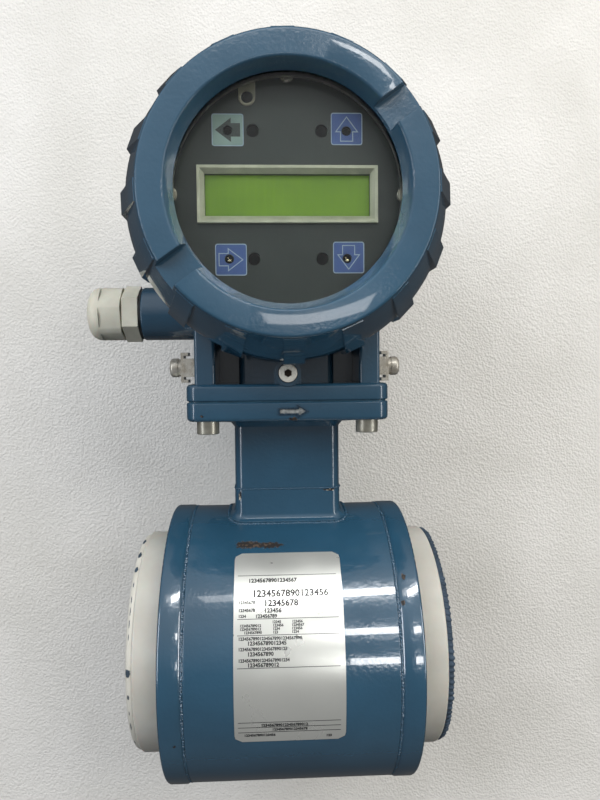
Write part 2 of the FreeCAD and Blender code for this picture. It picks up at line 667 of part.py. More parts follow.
def addEarthPads(body):
    """A drilled pad on each side wall for the earthing screw."""
    for side, leftHand in (("", False), ("-", True)):
        padShape = sketchOn(body, "YZ_Plane", lift=f"{side}(dims.postOut - dims.overlap)")
        disc(padShape, "dims.groundPad", "dims.groundPlace", "dims.groundHeight")
        pad(body, padShape, "dims.groundPadOut - dims.postOut + dims.overlap", reverse=leftHand)
        hole = sketchOn(body, "YZ_Plane", lift=f"{side}dims.groundPadOut")
        disc(hole, "dims.groundHole", "dims.groundPlace", "dims.groundHeight")
        cut(body, hole, "dims.groundDepth", reverse=leftHand)


def cutPassages(body):
    """Wire passage up the column, and the tapped holes under the posts."""
    base = "dims.plateUnder + dims.adapterThick + dims.gasketThick"
    passage = sketchOn(body, "XY_Plane", lift=base)
    disc(passage, "dims.wirePassage")
    cut(body, passage, "40", reverse=True)
    taps = sketchOn(body, "XY_Plane", lift=base)
    for x, y in boltPlaces():
        disc(taps, "dims.tapRadius", x, y)
    cut(body, taps, "dims.tapDepth", reverse=True)


# ---- covers ---------------------------------------------------------------------------

headAxis = (None, None, "dims.headHeight")
lugTurn = 11.25    # degrees from a wrench slot to the nearest lug
coverRoll = 35.5   # degrees from +X to the wrench slot


def addLugs(body, back, face):
    """Lugs round the wall and two wrench slots across the face."""
    lug = sketchOn(body, "XZ_Plane", turn=lugTurn)
    outline(lug, [("dims.coverWall - 2 * dims.overlap", back), ("dims.lugRadius", back),
                  ("dims.lugRadius", f"{face} - dims.lugSlope"),
                  ("dims.lugShoulder", f"{face} - dims.lugTop"),
                  ("dims.lugRoot", f"{face} - dims.lugTop"),
                  ("dims.coverWall - 2 * dims.overlap", f"{face} - dims.coneDeep")])
    repeat(body, pad(body, lug, "2 * dims.lugHalf", midplane=True), "dims.lugCount")
    slot = sketchOn(body, "XZ_Plane")
    outline(slot, block("dims.windowRadius - dims.overlap", "dims.lugRadius + 2 * dims.overlap",
                        f"{face} - dims.slotDeep", f"{face} + dims.overlap"))
    repeat(body, cut(body, slot, "2 * dims.slotHalf", midplane=True), "2")


def coverFoot(back):
    """The open end of a cover: wall, groove for the O-ring and threaded cavity."""
    return [("dims.coverWall", back), ("dims.grooveRadius", back),
            ("dims.grooveRadius", f"{back} + dims.grooveDeep"),
            ("dims.cavityRadius", f"{back} + dims.grooveDeep")]


def buildFrontCover():
    glassBack = "dims.shoulder - dims.glassSeal - dims.glassThick"
    body = newBody("front_cover", backY, headAxis, coverRoll)
    revolve(body, [
        ("dims.windowRadius", "dims.shoulder"), ("dims.faceInner", "dims.coverFace"),
        ("dims.faceOuter", "dims.coverFace"),
        ("dims.coverWall", "dims.coverFace - dims.coneDeep"), *coverFoot("dims.coverBack"),
        ("dims.cavityRadius", "dims.cavityEnd"), ("dims.retainPocket", "dims.cavityEnd"),
        ("dims.retainPocket", glassBack), ("dims.glassPocket", glassBack),
        ("dims.glassPocket", "dims.shoulder")])
    softenRings(body, "dims.faceEdge", ("dims.faceOuter", "dims.coverFace"),
                ("dims.faceInner", "dims.coverFace"))
    addLugs(body, "dims.coverBack", "dims.coverFace")
    glass = turned("sight_glass", block("0", "dims.glassRadius", glassBack,
                                        f"{glassBack} + dims.glassThick"), backY, headAxis)
    softenRings(glass, "0.6", ("dims.glassRadius", glassBack), kind="PartDesign::Chamfer")
    turned("glass_gasket", block("dims.sealInner", "dims.glassRadius",
                                 "dims.shoulder - dims.glassSeal", "dims.shoulder"),
           backY, headAxis)
    turned("glass_retainer", block("dims.retainInner", "dims.retainPocket - dims.retainGap",
                                   f"{glassBack} - dims.retainThick", glassBack),
           backY, headAxis)


def buildRearCover():
    body = newBody("rear_cover", alongY, headAxis, coverRoll)
    revolve(body, [
        ("0", "dims.rearFace - dims.dishDeep"),
        ("dims.dishRadius", "dims.rearFace - dims.dishDeep"),
        ("dims.faceInner", "dims.rearFace"), ("dims.faceOuter", "dims.rearFace"),
        ("dims.coverWall", "dims.rearFace - dims.coneDeep"), *coverFoot("dims.rearBack"),
        ("dims.cavityRadius", "dims.rearCavity"), ("0", "dims.rearCavity")])
    softenRings(body, "dims.faceEdge", ("dims.faceOuter", "dims.rearFace"))
    addLugs(body, "dims.rearBack", "dims.rearFace")


def buildCoverRings():
    """O-rings in the covers' grooves."""
    for label, back, axis in (("front_o_ring", "dims.coverBack", backY),
                              ("rear_o_ring", "dims.rearBack", alongY)):
        place = f"{back} + dims.grooveDeep / 2 - 0.1"
        ring = primitive("Part::Torus", {"Radius1": "dims.ringMajor",
                                         "Radius2": "dims.ringMinor"},
                         ("0", f"{axis[1]} * ({place})", "dims.headHeight"),
                         Rotation(Vector(0, 0, 1), Vector(*axis)))
        ring.Label = label
        parts[label] = ring


# ---- display and electronics --------------------------------------------------------------

def buildPanel():
    """Face plate: window for the display, sensor holes, a key hole in each arrow, tab hole."""
    body = newBody("display_panel", backY, headAxis)
    back = "dims.panelFace - dims.panelThick"
    plate = sketchOn(body, "XY_Plane", lift=back)
    disc(plate, "dims.panelRadius")
    rectangle(plate, "dims.lcdX", "dims.lcdY")
    for x in ("dims.sensorX", "-dims.sensorX"):
        for y in ("dims.sensorY", "-dims.sensorY"):
            disc(plate, "dims.sensorHole", x, y)
    for x in ("dims.keyX", "-dims.keyX"):
        for y in ("dims.sensorY", "-dims.sensorY"):
            disc(plate, "dims.keyHole", x, y)
    disc(plate, "dims.tabHole", "-dims.tabX", "dims.tabY")
    pad(body, plate, "dims.panelThick")


def buildBezel():
    """Metal frame round the display, its inner edge bevelled."""
    body = newBody("lcd_bezel", backY, headAxis)
    frame = sketchOn(body, "XY_Plane", lift="dims.panelFace")
    rectangle(frame, "dims.bezelX", "dims.bezelY")
    rectangle(frame, "dims.lcdX", "dims.lcdY")
    pad(body, frame, "dims.bezelFace - dims.panelFace")
    inner = []
    front, reach = value("dims.bezelFace"), value("dims.lcdX") + 0.1
    for number, edge in enumerate(body.Tip.Shape.Edges, start=1):
        box = edge.BoundBox
        if abs(box.ZMin - front) + abs(box.ZMax - front) > 0.02:
            continue
        if max(abs(box.XMin), abs(box.XMax)) < reach:
            inner.append(f"Edge{number}")
    soften(body, inner, "dims.bezelBevel", "PartDesign::Chamfer")


def buildDisplayStack():
    """Display glass, its board, and the screws that hold the panel."""
    lcd = newBody("lcd_module", backY, headAxis)
    slab = sketchOn(lcd, "XY_Plane", lift="dims.boardFace")
    rectangle(slab, "dims.lcdX + dims.lcdEdge", "dims.lcdY + dims.lcdEdge")
    pad(lcd, slab, "dims.panelFace - dims.panelThick - dims.boardFace")
    board = newBody("display_board", backY, headAxis)
    slab = sketchOn(board, "XY_Plane", lift="dims.boardFace - dims.boardThick")
    disc(slab, "dims.boardRadius")
    pad(board, slab, "dims.boardThick")
    screws = newBody("display_screws", backY, headAxis)
    heads = sketchOn(screws, "XY_Plane", lift="dims.panelFace")
    for x, y in (("dims.screwCircle", "0"), ("-dims.screwCircle", "0"),
                 ("0", "-dims.screwCircle"), ("0", "dims.screwCircle")):
        disc(heads, "dims.screwHead", x, y)
    pad(screws, heads, "dims.screwTop - dims.panelFace")


def buildModule():
    """Potted electronics cup behind the display board."""
    turned("electronics_module", [
        ("0", "dims.wallFront + dims.moduleGap"), ("dims.moduleRadius", "dims.wallFront + dims.moduleGap"),
        ("dims.moduleRadius", "dims.moduleFace"), ("dims.moduleStep", "dims.moduleFace"),
        ("dims.moduleStep", "dims.moduleFace - dims.moduleLip"),
        ("0", "dims.moduleFace - dims.moduleLip")], backY, headAxis)


def buildTerminals():
    """Terminal block with barrier ribs, and its clamp screws."""
    body = newBody("terminal_block", alongY, headAxis)
    face = "dims.blockDeep - dims.wallRear"
    slab = sketchOn(body, "XY_Plane", lift="-dims.wallRear")
    rectangle(slab, "dims.blockX", "dims.blockY")
    pad(body, slab, "dims.blockDeep")
    ribs = sketchOn(body, "XY_Plane", lift=face)
    gaps = int(value("dims.ribCount")) - 1
    for number in range(gaps + 1):
        rectangle(ribs, "dims.ribHalf", "dims.blockY",
                  f"(dims.blockX - dims.ribHalf) * {number * 2 - gaps} / {gaps}")
    pad(body, ribs, "dims.ribTall")
    screws = newBody("terminal_screws", alongY, headAxis)
    heads = sketchOn(screws, "XY_Plane", lift=face)
    for number in range(gaps):
        for y in ("dims.blockY / 2", "-dims.blockY / 2"):
            disc(heads, "dims.terminalHead",
                 f"(dims.blockX - dims.ribHalf) * {number * 2 + 1 - gaps} / {gaps}", y)
    pad(screws, heads, "dims.terminalTall")


# ---- cable gland ------------------------------------------------------------------------

glandAxis = ("0", "0", "dims.glandHeight")


def buildGland():
    washerEnd = "dims.entryFace + dims.washerThick"
    turned("gland_washer", block("dims.glandThread + dims.seat", "dims.washerRadius",
                                 "dims.entryFace", washerEnd), backX, glandAxis)
    body = newBody("gland_body", backX, glandAxis, 30)
    revolve(body, [("dims.sleeveBore", "dims.glandTail"),
                   ("dims.glandThread", "dims.glandTail"),
                   ("dims.glandThread", "dims.glandHexEnd"),
                   ("dims.sleeveRadius", "dims.glandHexEnd"),
                   ("dims.sleeveRadius", "dims.sleeveEnd"),
                   ("dims.sleeveBore", "dims.sleeveEnd")])
    nut = sketchOn(body, "XY_Plane", lift=washerEnd)
    hexagon(nut, "dims.glandFlats")
    disc(nut, "dims.glandThread - dims.threadDeep")
    pad(body, nut, f"dims.glandHexEnd - ({washerEnd})")
    turned("gland_seal", block("dims.sealBore", "dims.sealRadius", "dims.sealStart",
                               "dims.sealEnd"), backX, glandAxis)


def buildDomeNut():
    """Dome nut: round crown, six flats cut on its skirt, open end for a cable."""
    body = newBody("gland_nut", backX, glandAxis, 17)
    revolve(body, [("dims.nutBore", "dims.nutStart"), ("dims.nutRadius", "dims.nutStart"),
                   ("dims.nutRadius", "dims.nutEnd"), ("dims.nutHole", "dims.nutEnd"),
                   ("dims.nutHole", "dims.nutInside"), ("dims.nutBore", "dims.nutInside")])
    softenRings(body, "dims.nutDome", ("dims.nutRadius", "dims.nutEnd"))
    flats = sketchOn(body, "XY_Plane", lift="dims.nutStart")
    hexagon(flats, "dims.glandFlats")
    disc(flats, "dims.nutRadius + 3 * dims.overlap")
    cut(body, flats, "dims.nutFlatEnd - dims.nutStart", reverse=True)


# ---- screws -----------------------------------------------------------------------------

def capScrew(label, axis, place, names, under="0"):
    """A socket head screw; its head starts at a distance along its axis."""
    head, tall, shank, length, flats, socket = (f"dims.{name}" for name in names)
    body = newBody(label, axis, place)
    top = f"{under} + {tall}"
    revolve(body, [("0", f"{under} - {length}"), (shank, f"{under} - {length}"),
                   (shank, under), (head, under), (head, top), ("0", top)])
    softenRings(body, "dims.capEdge", (head, top))
    recess = sketchOn(body, "XY_Plane", lift=top)
    hexagon(recess, flats)
    cut(body, recess, socket)
    return body


def buildMountingScrews():
    names = ("capHead", "capHeight", "capShank", "capLength", "capFlats", "capSocket")
    corners = ("front_left", "front_right", "rear_left", "rear_right")
    for corner, (x, y) in zip(corners, boltPlaces()):
        capScrew(f"{corner}_mounting_screw", backZ, (x, y, "dims.plateUnder"), names)


def buildJamScrews():
    names = ("jamHead", "jamHeadTall", "jamShank", "jamLength", "jamFlats", "jamSocket")
    place = (None, None, "dims.jamHeight")
    for side, axis, back in (("front", backY, "dims.coverBack"),
                             ("rear", alongY, "dims.rearBack")):
        under = f"{back} - dims.jamGap - dims.jamHeadTall"
        capScrew(f"{side}_jam_screw", axis, place, names, under)


def buildEarthing():
    """On each side: square clamp, saddle washer, spring washer and pan head screw."""
    place = (None, "dims.groundPlace", "dims.groundHeight")
    for side, axis in (("left", backX), ("right", alongX)):
        clamp = newBody(f"{side}_earth_clamp", axis, place)
        shape = sketchOn(clamp, "XY_Plane", lift="dims.groundPadOut")
        rectangle(shape, "dims.clampZ", "dims.clampY")
        disc(shape, "dims.earthShank + dims.washerClear")
        pad(clamp, shape, "dims.clampEnd - dims.groundPadOut")
        saddle = newBody(f"{side}_earth_saddle", axis, place)
        shape = sketchOn(saddle, "XY_Plane", lift="dims.clampEnd")
        rectangle(shape, "dims.saddleZ", "dims.saddleY")
        disc(shape, "dims.earthShank + dims.washerClear")
        pad(saddle, shape, "dims.saddleEnd - dims.clampEnd")
        ears = sketchOn(saddle, "XY_Plane", lift="dims.clampEnd - dims.saddleEar")
        for sign in ("", "-"):
            middle = f"{sign}(dims.saddleZ + dims.clampZ + 2 * dims.saddleGap) / 2"
            rectangle(ears, "(dims.saddleZ - dims.clampZ - 2 * dims.saddleGap) / 2", "dims.saddleY", middle)
        pad(saddle, ears, "dims.saddleEar")
        turned(f"{side}_spring_washer", block("dims.earthShank + dims.washerClear", "dims.springOuter",
                                              "dims.saddleEnd", "dims.springEnd"),
               axis, place)
        screw = turned(f"{side}_earth_screw", [
            ("0", "dims.groundPadOut - dims.groundDepth + dims.earthTipGap"),
            ("dims.earthShank", "dims.groundPadOut - dims.groundDepth + dims.earthTipGap"),
            ("dims.earthShank", "dims.springEnd"), ("dims.panHead", "dims.springEnd"),
            ("dims.panHead", "dims.panEnd"), ("0", "dims.panEnd")], axis, place)
        softenRings(screw, "dims.panRound", ("dims.panHead", "dims.panEnd"))


# ---- build, check and write ---------------------------------------------------------------

for job in (buildFlowPipe, buildLiner, buildEndRings, buildShell, buildMagnet,
            buildElectrodes, buildNeckStub, buildAdapter, buildGasket, buildHousing,
            buildFrontCover, buildRearCover, buildCoverRings, buildPanel, buildBezel,
            buildDisplayStack, buildModule, buildTerminals, buildGland, buildDomeNut,
            buildMountingScrews, buildJamScrews, buildEarthing):
    job()
doc.recompute()

for item in doc.Objects:
    if "Invalid" in item.State or "Error" in item.State:
        raise RuntimeError(f"{item.Name} ({item.Label}) is {item.State}")
for label, item in parts.items():
    if item.Shape.isNull() or not item.Shape.isValid():
        raise RuntimeError(f"{label} has no valid shape")

os.makedirs("parts", exist_ok=True)
for label, item in parts.items():
    item.Shape.exportStep(f"parts/{label}.step")
    box = item.Shape.BoundBox
    spans = ", ".join(f"{low:.1f}..{high:.1f}" for low, high in
                      ((box.XMin, box.XMax), (box.YMin, box.YMax), (box.ZMin, box.ZMax)))
    print(f"{label}: {len(item.Shape.Solids)} solid(s), {item.Shape.Volume:.0f} mm3, {spans}")
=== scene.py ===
import json
import math

import bmesh
import bpy
from mathutils import Matrix, Vector


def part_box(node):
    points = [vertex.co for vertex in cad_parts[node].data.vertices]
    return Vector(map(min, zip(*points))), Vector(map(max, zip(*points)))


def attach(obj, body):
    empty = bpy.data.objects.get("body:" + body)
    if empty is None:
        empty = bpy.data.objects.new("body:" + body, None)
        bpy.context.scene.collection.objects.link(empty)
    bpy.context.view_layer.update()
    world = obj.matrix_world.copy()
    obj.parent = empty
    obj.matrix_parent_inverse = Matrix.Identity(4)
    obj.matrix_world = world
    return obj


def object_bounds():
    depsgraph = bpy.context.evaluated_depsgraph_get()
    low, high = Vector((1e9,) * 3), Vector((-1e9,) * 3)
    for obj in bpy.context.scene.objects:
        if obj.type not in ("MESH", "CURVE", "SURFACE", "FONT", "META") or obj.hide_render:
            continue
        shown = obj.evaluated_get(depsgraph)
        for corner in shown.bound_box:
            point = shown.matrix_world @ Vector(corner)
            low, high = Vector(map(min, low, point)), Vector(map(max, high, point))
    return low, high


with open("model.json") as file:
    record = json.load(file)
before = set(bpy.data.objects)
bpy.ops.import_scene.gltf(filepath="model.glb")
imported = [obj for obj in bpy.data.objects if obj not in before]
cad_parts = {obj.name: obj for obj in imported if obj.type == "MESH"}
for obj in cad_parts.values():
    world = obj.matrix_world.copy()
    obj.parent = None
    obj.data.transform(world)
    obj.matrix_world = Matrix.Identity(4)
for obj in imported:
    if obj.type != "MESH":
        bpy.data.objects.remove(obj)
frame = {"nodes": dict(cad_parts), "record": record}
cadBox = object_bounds()
nodes = frame["nodes"]
mm = 0.001

# Where the added pieces sit, in metres, read from the model.
headZ = sum(corner[2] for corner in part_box("sight_glass")) / 2
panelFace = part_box("display_panel")[0][1]
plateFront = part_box("adapter_flange")[0][1]


def colourOf(code):
    # linear RGBA from an sRGB hex code
    channels = [int(code[start:start + 2], 16) / 255 for start in (1, 3, 5)]
    linear = [c / 12.92 if c <= 0.04045 else ((c + 0.055) / 1.055) ** 2.4 for c in channels]
    return (*linear, 1.0)


def addNode(tree, kind, inputs=None, output=0, **settings):
    # adds one node with its settings and links and gives back one of its outputs;
    # an input that is a text is a hex colour
    made = tree.nodes.new(kind)
    for name, setting in settings.items():
        setattr(made, name, setting)
    for name, source in (inputs or {}).items():
        if isinstance(source, bpy.types.NodeSocket):
            tree.links.new(source, made.inputs[name])
        else:
            made.inputs[name].default_value = (
                colourOf(source) if isinstance(source, str) else source)
    return made.outputs[output] if made.outputs else made


# settings of a Mix node that blends two colours, its inputs 6 and 7, by input 0
blend = {"output": 2, "data_type": "RGBA", "clamp_factor": True}


def makeMaterial(name, recipe, oneSided=False):
    # recipe(tree, spot) gives the inputs of the Principled shader; spot is in metres
    made = bpy.data.materials.new(name)
    made.use_nodes = True
    tree = made.node_tree
    tree.nodes.clear()
    spot = addNode(tree, "ShaderNodeTexCoord", output="Object")
    shader = addNode(tree, "ShaderNodeBsdfPrincipled", recipe(tree, spot))
    if oneSided:   # clear where it is seen from behind
        clear = addNode(tree, "ShaderNodeBsdfTransparent")
        behind = addNode(tree, "ShaderNodeNewGeometry", output="Backfacing")
        shader = addNode(tree, "ShaderNodeMixShader", {0: behind, 1: shader, 2: clear})
    addNode(tree, "ShaderNodeOutputMaterial", {"Surface": shader})
    return made


def uneven(tree, spot, size, low, high, detail=3.0, edges=(0.3, 0.7)):
    # noise with features of a size in mm, spread between two values
    grain = addNode(tree, "ShaderNodeTexNoise", {"Vector": spot, "Scale": 1 / (size * mm),
                                                 "Detail": detail})
    return addNode(tree, "ShaderNodeMapRange", {
        "Value": grain, "From Min": edges[0], "From Max": edges[1],
        "To Min": low, "To Max": high})


def mottled(tree, spot, size, first, second, detail=3.0):
    # two close tones in patches of a size in mm
    amount = uneven(tree, spot, size, 0, 1, detail)
    return addNode(tree, "ShaderNodeMix", {0: amount, 6: first, 7: second}, **blend)


def relief(tree, layers, rounding=0.0):
    # bump from (height, depth in mm) layers, over edges rounded by a radius in mm
    normal = None
    if rounding:
        normal = addNode(tree, "ShaderNodeBevel", {"Radius": rounding * mm}, samples=4)
    for height, depth in layers:
        inputs = {"Height": height, "Distance": depth * mm}
        if normal:
            inputs["Normal"] = normal
        normal = addNode(tree, "ShaderNodeBump", inputs)
    return normal


def patches(tree, spot, places, ragged=0.9):
    # a mask of spots with torn edges: places are (centre, half sizes) in mm
    rough = addNode(tree, "ShaderNodeTexNoise", {"Vector": spot, "Scale": 900.0,
                                                 "Detail": 4.0}, output="Color")
    shift = addNode(tree, "ShaderNodeVectorMath", {0: rough, 1: (0.5, 0.5, 0.5)},
                    operation="SUBTRACT")
    shift = addNode(tree, "ShaderNodeVectorMath", {0: shift, "Scale": 2 * ragged},
                    operation="SCALE")
    mask = None
    for centre, half in places:
        away = addNode(tree, "ShaderNodeVectorMath", {
            0: spot, 1: [-c * mm for c in centre]}, operation="ADD")
        away = addNode(tree, "ShaderNodeVectorMath", {
            0: away, 1: [1 / (h * mm) for h in half]}, operation="MULTIPLY")
        away = addNode(tree, "ShaderNodeVectorMath", {0: away, 1: shift}, operation="ADD")
        far = addNode(tree, "ShaderNodeVectorMath", {0: away}, output="Value",
                      operation="LENGTH")
        near = addNode(tree, "ShaderNodeMapRange", {
            "Value": far, "From Min": 1.05, "From Max": 0.85, "To Min": 0.0, "To Max": 1.0})
        mask = addNode(tree, "ShaderNodeMath", {0: mask, 1: near},
                       operation="MAXIMUM") if mask else near
    return mask


def newPiece(name, mesh, body, material):
    # a finished piece that rides on a body, at the origin
    piece = bpy.data.objects.new(name, mesh)
    bpy.context.scene.collection.objects.link(piece)
    if material:
        mesh.materials.clear()
        mesh.materials.append(material)
    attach(piece, body)


def plainMesh(holder):
    # the mesh that a curve, a text or a modifier makes; what held it goes
    bpy.context.scene.collection.objects.link(holder)
    bpy.context.view_layer.update()
    mesh = bpy.data.meshes.new_from_object(
        holder.evaluated_get(bpy.context.evaluated_depsgraph_get()))
    holder.modifiers.clear()
    bpy.data.objects.remove(holder)
    return mesh


def closeMesh(mesh, near=1e-6):
    # merges doubled points and turns every face outwards
    shell = bmesh.new()
    shell.from_mesh(mesh)
    bmesh.ops.remove_doubles(shell, verts=shell.verts, dist=near)
    bmesh.ops.recalc_face_normals(shell, faces=shell.faces)
    shell.to_mesh(mesh)
    shell.free()


def fromSolid(name, points, faces, body, material, smooth=30):
    mesh = bpy.data.meshes.new(name)
    mesh.from_pydata([[c * mm for c in point] for point in points], [], faces)
    closeMesh(mesh)
    mesh.shade_smooth()
    mesh.set_sharp_from_angle(angle=math.radians(smooth))
    newPiece(name, mesh, body, material)


def prism(name, loops, low, high, place, body, material, slotName, edge=0.0):
    # flat shapes with holes, thick from low to high; place(x, y, height) gives mm points
    curve = bpy.data.curves.new(name, "CURVE")
    curve.dimensions = "2D"
    curve.fill_mode = "BOTH"
    for loop in loops:
        line = curve.splines.new("POLY")
        line.points.add(len(loop) - 1)
        for point, (x, y) in zip(line.points, loop):
            point.co = (x, y, 0, 1)
        line.use_cyclic_u = True
    curve.extrude = (high - low) / 2 - edge
    curve.bevel_depth = edge
    curve.bevel_resolution = 1
    curve.offset = -edge
    mesh = plainMesh(bpy.data.objects.new(name, curve))
    middle = (low + high) / 2
    for vertex in mesh.vertices:
        x, y, z = vertex.co
        vertex.co = Vector(place(x, y, z + middle)) * mm
    closeMesh(mesh, 1e-7)
    mesh.set_sharp_from_angle(angle=math.radians(30))
    newPiece(name, mesh, body, material)


def geometryTree(name, **sizes):
    # a Geometry Nodes group with named number inputs and one mesh output
    tree = bpy.data.node_groups.new(name, "GeometryNodeTree")
    for label, size in sizes.items():
        kind = "NodeSocketInt" if isinstance(size, int) else "NodeSocketFloat"
        socket = tree.interface.new_socket(label, in_out="INPUT", socket_type=kind)
        socket.default_value = size
    tree.interface.new_socket("Mesh", in_out="OUTPUT", socket_type="NodeSocketGeometry")
    entry = addNode(tree, "NodeGroupInput").node
    return tree, {label: entry.outputs[label] for label in sizes}


def grow(name, tree, result, material, slotName, **sizes):
    # ends the group, runs it on an empty mesh and keeps the plain mesh that comes out
    real = addNode(tree, "GeometryNodeRealizeInstances", {"Geometry": result})
    painted = addNode(tree, "GeometryNodeSetMaterial", {"Geometry": real,
                                                        "Material": material})
    addNode(tree, "NodeGroupOutput", {0: painted})
    holder = bpy.data.objects.new(name, bpy.data.meshes.new(name))
    maker = holder.modifiers.new("Make", "NODES")
    maker.node_group = tree
    for socket in tree.interface.items_tree:
        if socket.in_out == "INPUT" and socket.name in sizes:
            maker[socket.identifier] = sizes[socket.name]
    mesh = plainMesh(holder)
    mesh.shade_smooth()
    mesh.set_sharp_from_angle(angle=math.radians(60))
    newPiece(name, mesh, "meter", None)


camera = {
    # place in mm, focal length, sensor width, and the axes that it is turned to
    "place": (-7.66, -331.92, 135.86), "lens": 29.42, "sensor": 36.0,
    "right": (0.99892, -0.04534, -0.01041), "up": (0.01255, 0.04709, 0.99881),
    "back": (-0.04479, -0.99786, 0.04761),
}
lens = bpy.data.cameras.new("camera")
lens.lens = camera["lens"]
lens.sensor_width = camera["sensor"]
lens.dof.use_dof = False
lens.clip_start, lens.clip_end = 0.01, 20.0
viewer = bpy.data.objects.new("camera", lens)
bpy.context.scene.collection.objects.link(viewer)
aim = Matrix([camera["right"], camera["up"], camera["back"]]).transposed().to_4x4()
aim.translation = Vector(camera["place"]) * mm
viewer.matrix_world = aim
bpy.context.scene.camera = viewer
bpy.context.scene.view_settings.view_transform = "Standard"

lamps = {
    # place, target, width and height in metres, watts, colour, and what the lamp does:
    # "dull" gives light but no reflection, "all" gives both, "body" and "cover" are
    # only reflected, by the round body or by the front cover
    "windowRight": ((0.62, -0.85, 0.70), (0, 0, 0.10), 0.70, 0.70, 7.6, "#FFFAF2", "dull"),
    "windowLeft": ((-0.75, -0.90, 0.68), (0, 0, 0.12), 0.70, 0.70, 8.0, "#F3F7FF", "dull"),
    "ceiling": ((-0.05, -0.75, 1.10), (0, 0, 0.10), 0.90, 0.40, 1.8, "#FFFFFF", "dull"),
    "ceilingTube": ((0.10, -0.404, 0.513), (0, 0, 0.03), 0.42, 0.060, 0.35, "#FFFFFF", "all"),
    "stripLeft": ((-0.80, -0.55, 0.12), (0, 0, 0.10), 0.10, 0.80, 1.6, "#F3F7FF", "all"),
    "stripRight": ((0.80, -0.55, 0.12), (0, 0, 0.10), 0.10, 0.80, 1.6, "#FFFFFF", "all"),
    "tubeHigh": ((0.16, -0.404, 0.513), (0.02, 0, 0.03), 0.34, 0.060, 1.7, "#FFFFFF", "body"),
    "tubeLevel": ((0.100, -0.382, 0.150), (0.04, 0, 0.02), 0.090, 0.034, 0.17, "#FFFFFF",
                  "body"),
    "tubeLow": ((0.105, -0.409, 0.001), (0.04, 0, 0.01), 0.085, 0.034, 0.15, "#FFFFFF",
                "body"),
    "edgeLeft": ((-0.62, -0.46, 0.10), (0, 0, 0.0), 0.08, 0.60, 2.6, "#F3F7FF", "body"),
    "edgeRight": ((0.66, -0.46, 0.10), (0, 0, 0.0), 0.08, 0.60, 2.6, "#FFFFFF", "body"),
    "glintHigh": ((0.14, -0.816, 0.586), (0.03, -0.09, 0.25), 0.10, 0.06, 0.19, "#FFFFFF",
                  "cover"),
    "glintLow": ((0.072, -0.816, 0.210), (0.012, -0.09, 0.154), 0.17, 0.05, 0.14, "#FFFFFF",
                 "cover"),
    "rearPanel": ((0.55, 0.90, 0.70), (0, 0, 0.12), 0.60, 0.60, 8.0, "#FFFFFF", "dull"),
    "rearFill": ((-0.80, 0.75, 0.30), (0, 0, 0.12), 0.60, 0.60, 4.5, "#FFFFFF", "dull"),
}
litAlone = {"body": ("roundBody", ("body_shell", "ratingLabel", "shellSeam1", "shellSeam2")),
            "cover": ("coverFace", ("front_cover",))}
receivers = {does: bpy.data.collections.new(title) for does, (title, _) in litAlone.items()}
for name, (place, target, width, height, watts, colour, does) in lamps.items():
    light = bpy.data.lights.new(name, "AREA")
    light.shape = "RECTANGLE"
    light.size, light.size_y = width, height
    light.energy = watts
    light.color = colourOf(colour)[:3]
    holder = bpy.data.objects.new(name, light)
    bpy.context.scene.collection.objects.link(holder)
    holder.location = place
    holder.visible_glossy = does != "dull"
    if does in receivers:
        holder.visible_diffuse = False
        holder.light_linking.receiver_collection = receivers[does]
    holder.rotation_euler = (Vector(target) - Vector(place)).to_track_quat("-Z", "Y").to_euler()

# Light of the room: strongest from the front and above, weak from behind and below, and
# one even tone where the camera sees it.
room = {"above": 0.90, "below": 0.18, "behind": 0.08, "seen": 0.80, "colour": "#E9EAEC",
        "rise": (-0.15, 0.5), "turn": (-0.3, 0.3)}


def makeRoom():
    world = bpy.data.worlds.new("room")
    bpy.context.scene.world = world
    world.use_nodes = True
    tree = world.node_tree
    tree.nodes.clear()
    towards = addNode(tree, "ShaderNodeSeparateXYZ", {
        "Vector": addNode(tree, "ShaderNodeNewGeometry", output="Position")}).node.outputs
    height = addNode(tree, "ShaderNodeMapRange", {
        "Value": towards["Z"], "From Min": room["rise"][0], "From Max": room["rise"][1],
        "To Min": room["below"], "To Max": room["above"]})
    glow = addNode(tree, "ShaderNodeMapRange", {
        "Value": towards["Y"], "From Min": room["turn"][0], "From Max": room["turn"][1],
        "To Min": height, "To Max": room["behind"]})
    seen = addNode(tree, "ShaderNodeLightPath", output="Is Camera Ray")
    glow = addNode(tree, "ShaderNodeMapRange", {
        "Value": seen, "To Min": glow, "To Max": room["seen"]})
    sky = addNode(tree, "ShaderNodeBackground", {"Color": room["colour"],
                                                 "Strength": glow})
    addNode(tree, "ShaderNodeOutputWorld", {"Surface": sky})


makeRoom()

# The pale pebbled table top that the meter lies on; from behind it is clear.
table = {"gap": 0.4, "half": 900.0, "grain": 1.35, "relief": 0.45, "colour": "#DAD8D3",
         "shade": "#CFCDC7"}


def pebbledVinyl(tree, spot):
    cells = addNode(tree, "ShaderNodeTexVoronoi", {
        "Vector": spot, "Scale": 1 / (table["grain"] * mm), "Smoothness": 0.6},
        feature="SMOOTH_F1")
    return {"Base Color": mottled(tree, spot, 60, table["colour"], table["shade"]),
            "Roughness": 0.62, "Normal": relief(tree, [(cells, table["relief"])])}


def layTable():
    rear = cadBox[1][1] + table["gap"] * mm
    half = table["half"] * mm
    mesh = bpy.data.meshes.new("tableTop")
    mesh.from_pydata([(-half, rear, -half), (half, rear, -half), (half, rear, half),
                      (-half, rear, half)], [], [(0, 1, 2, 3)])
    mesh.materials.append(makeMaterial("pebbled vinyl", pebbledVinyl, oneSided=True))
    tableTop = bpy.data.objects.new("tableTop", mesh)
    bpy.context.scene.collection.objects.link(tableTop)
    tableTop.visible_shadow = False
    tableTop.visible_diffuse = False
    tableTop.visible_glossy = False


layTable()
print("camera, lamps and table top are in place")

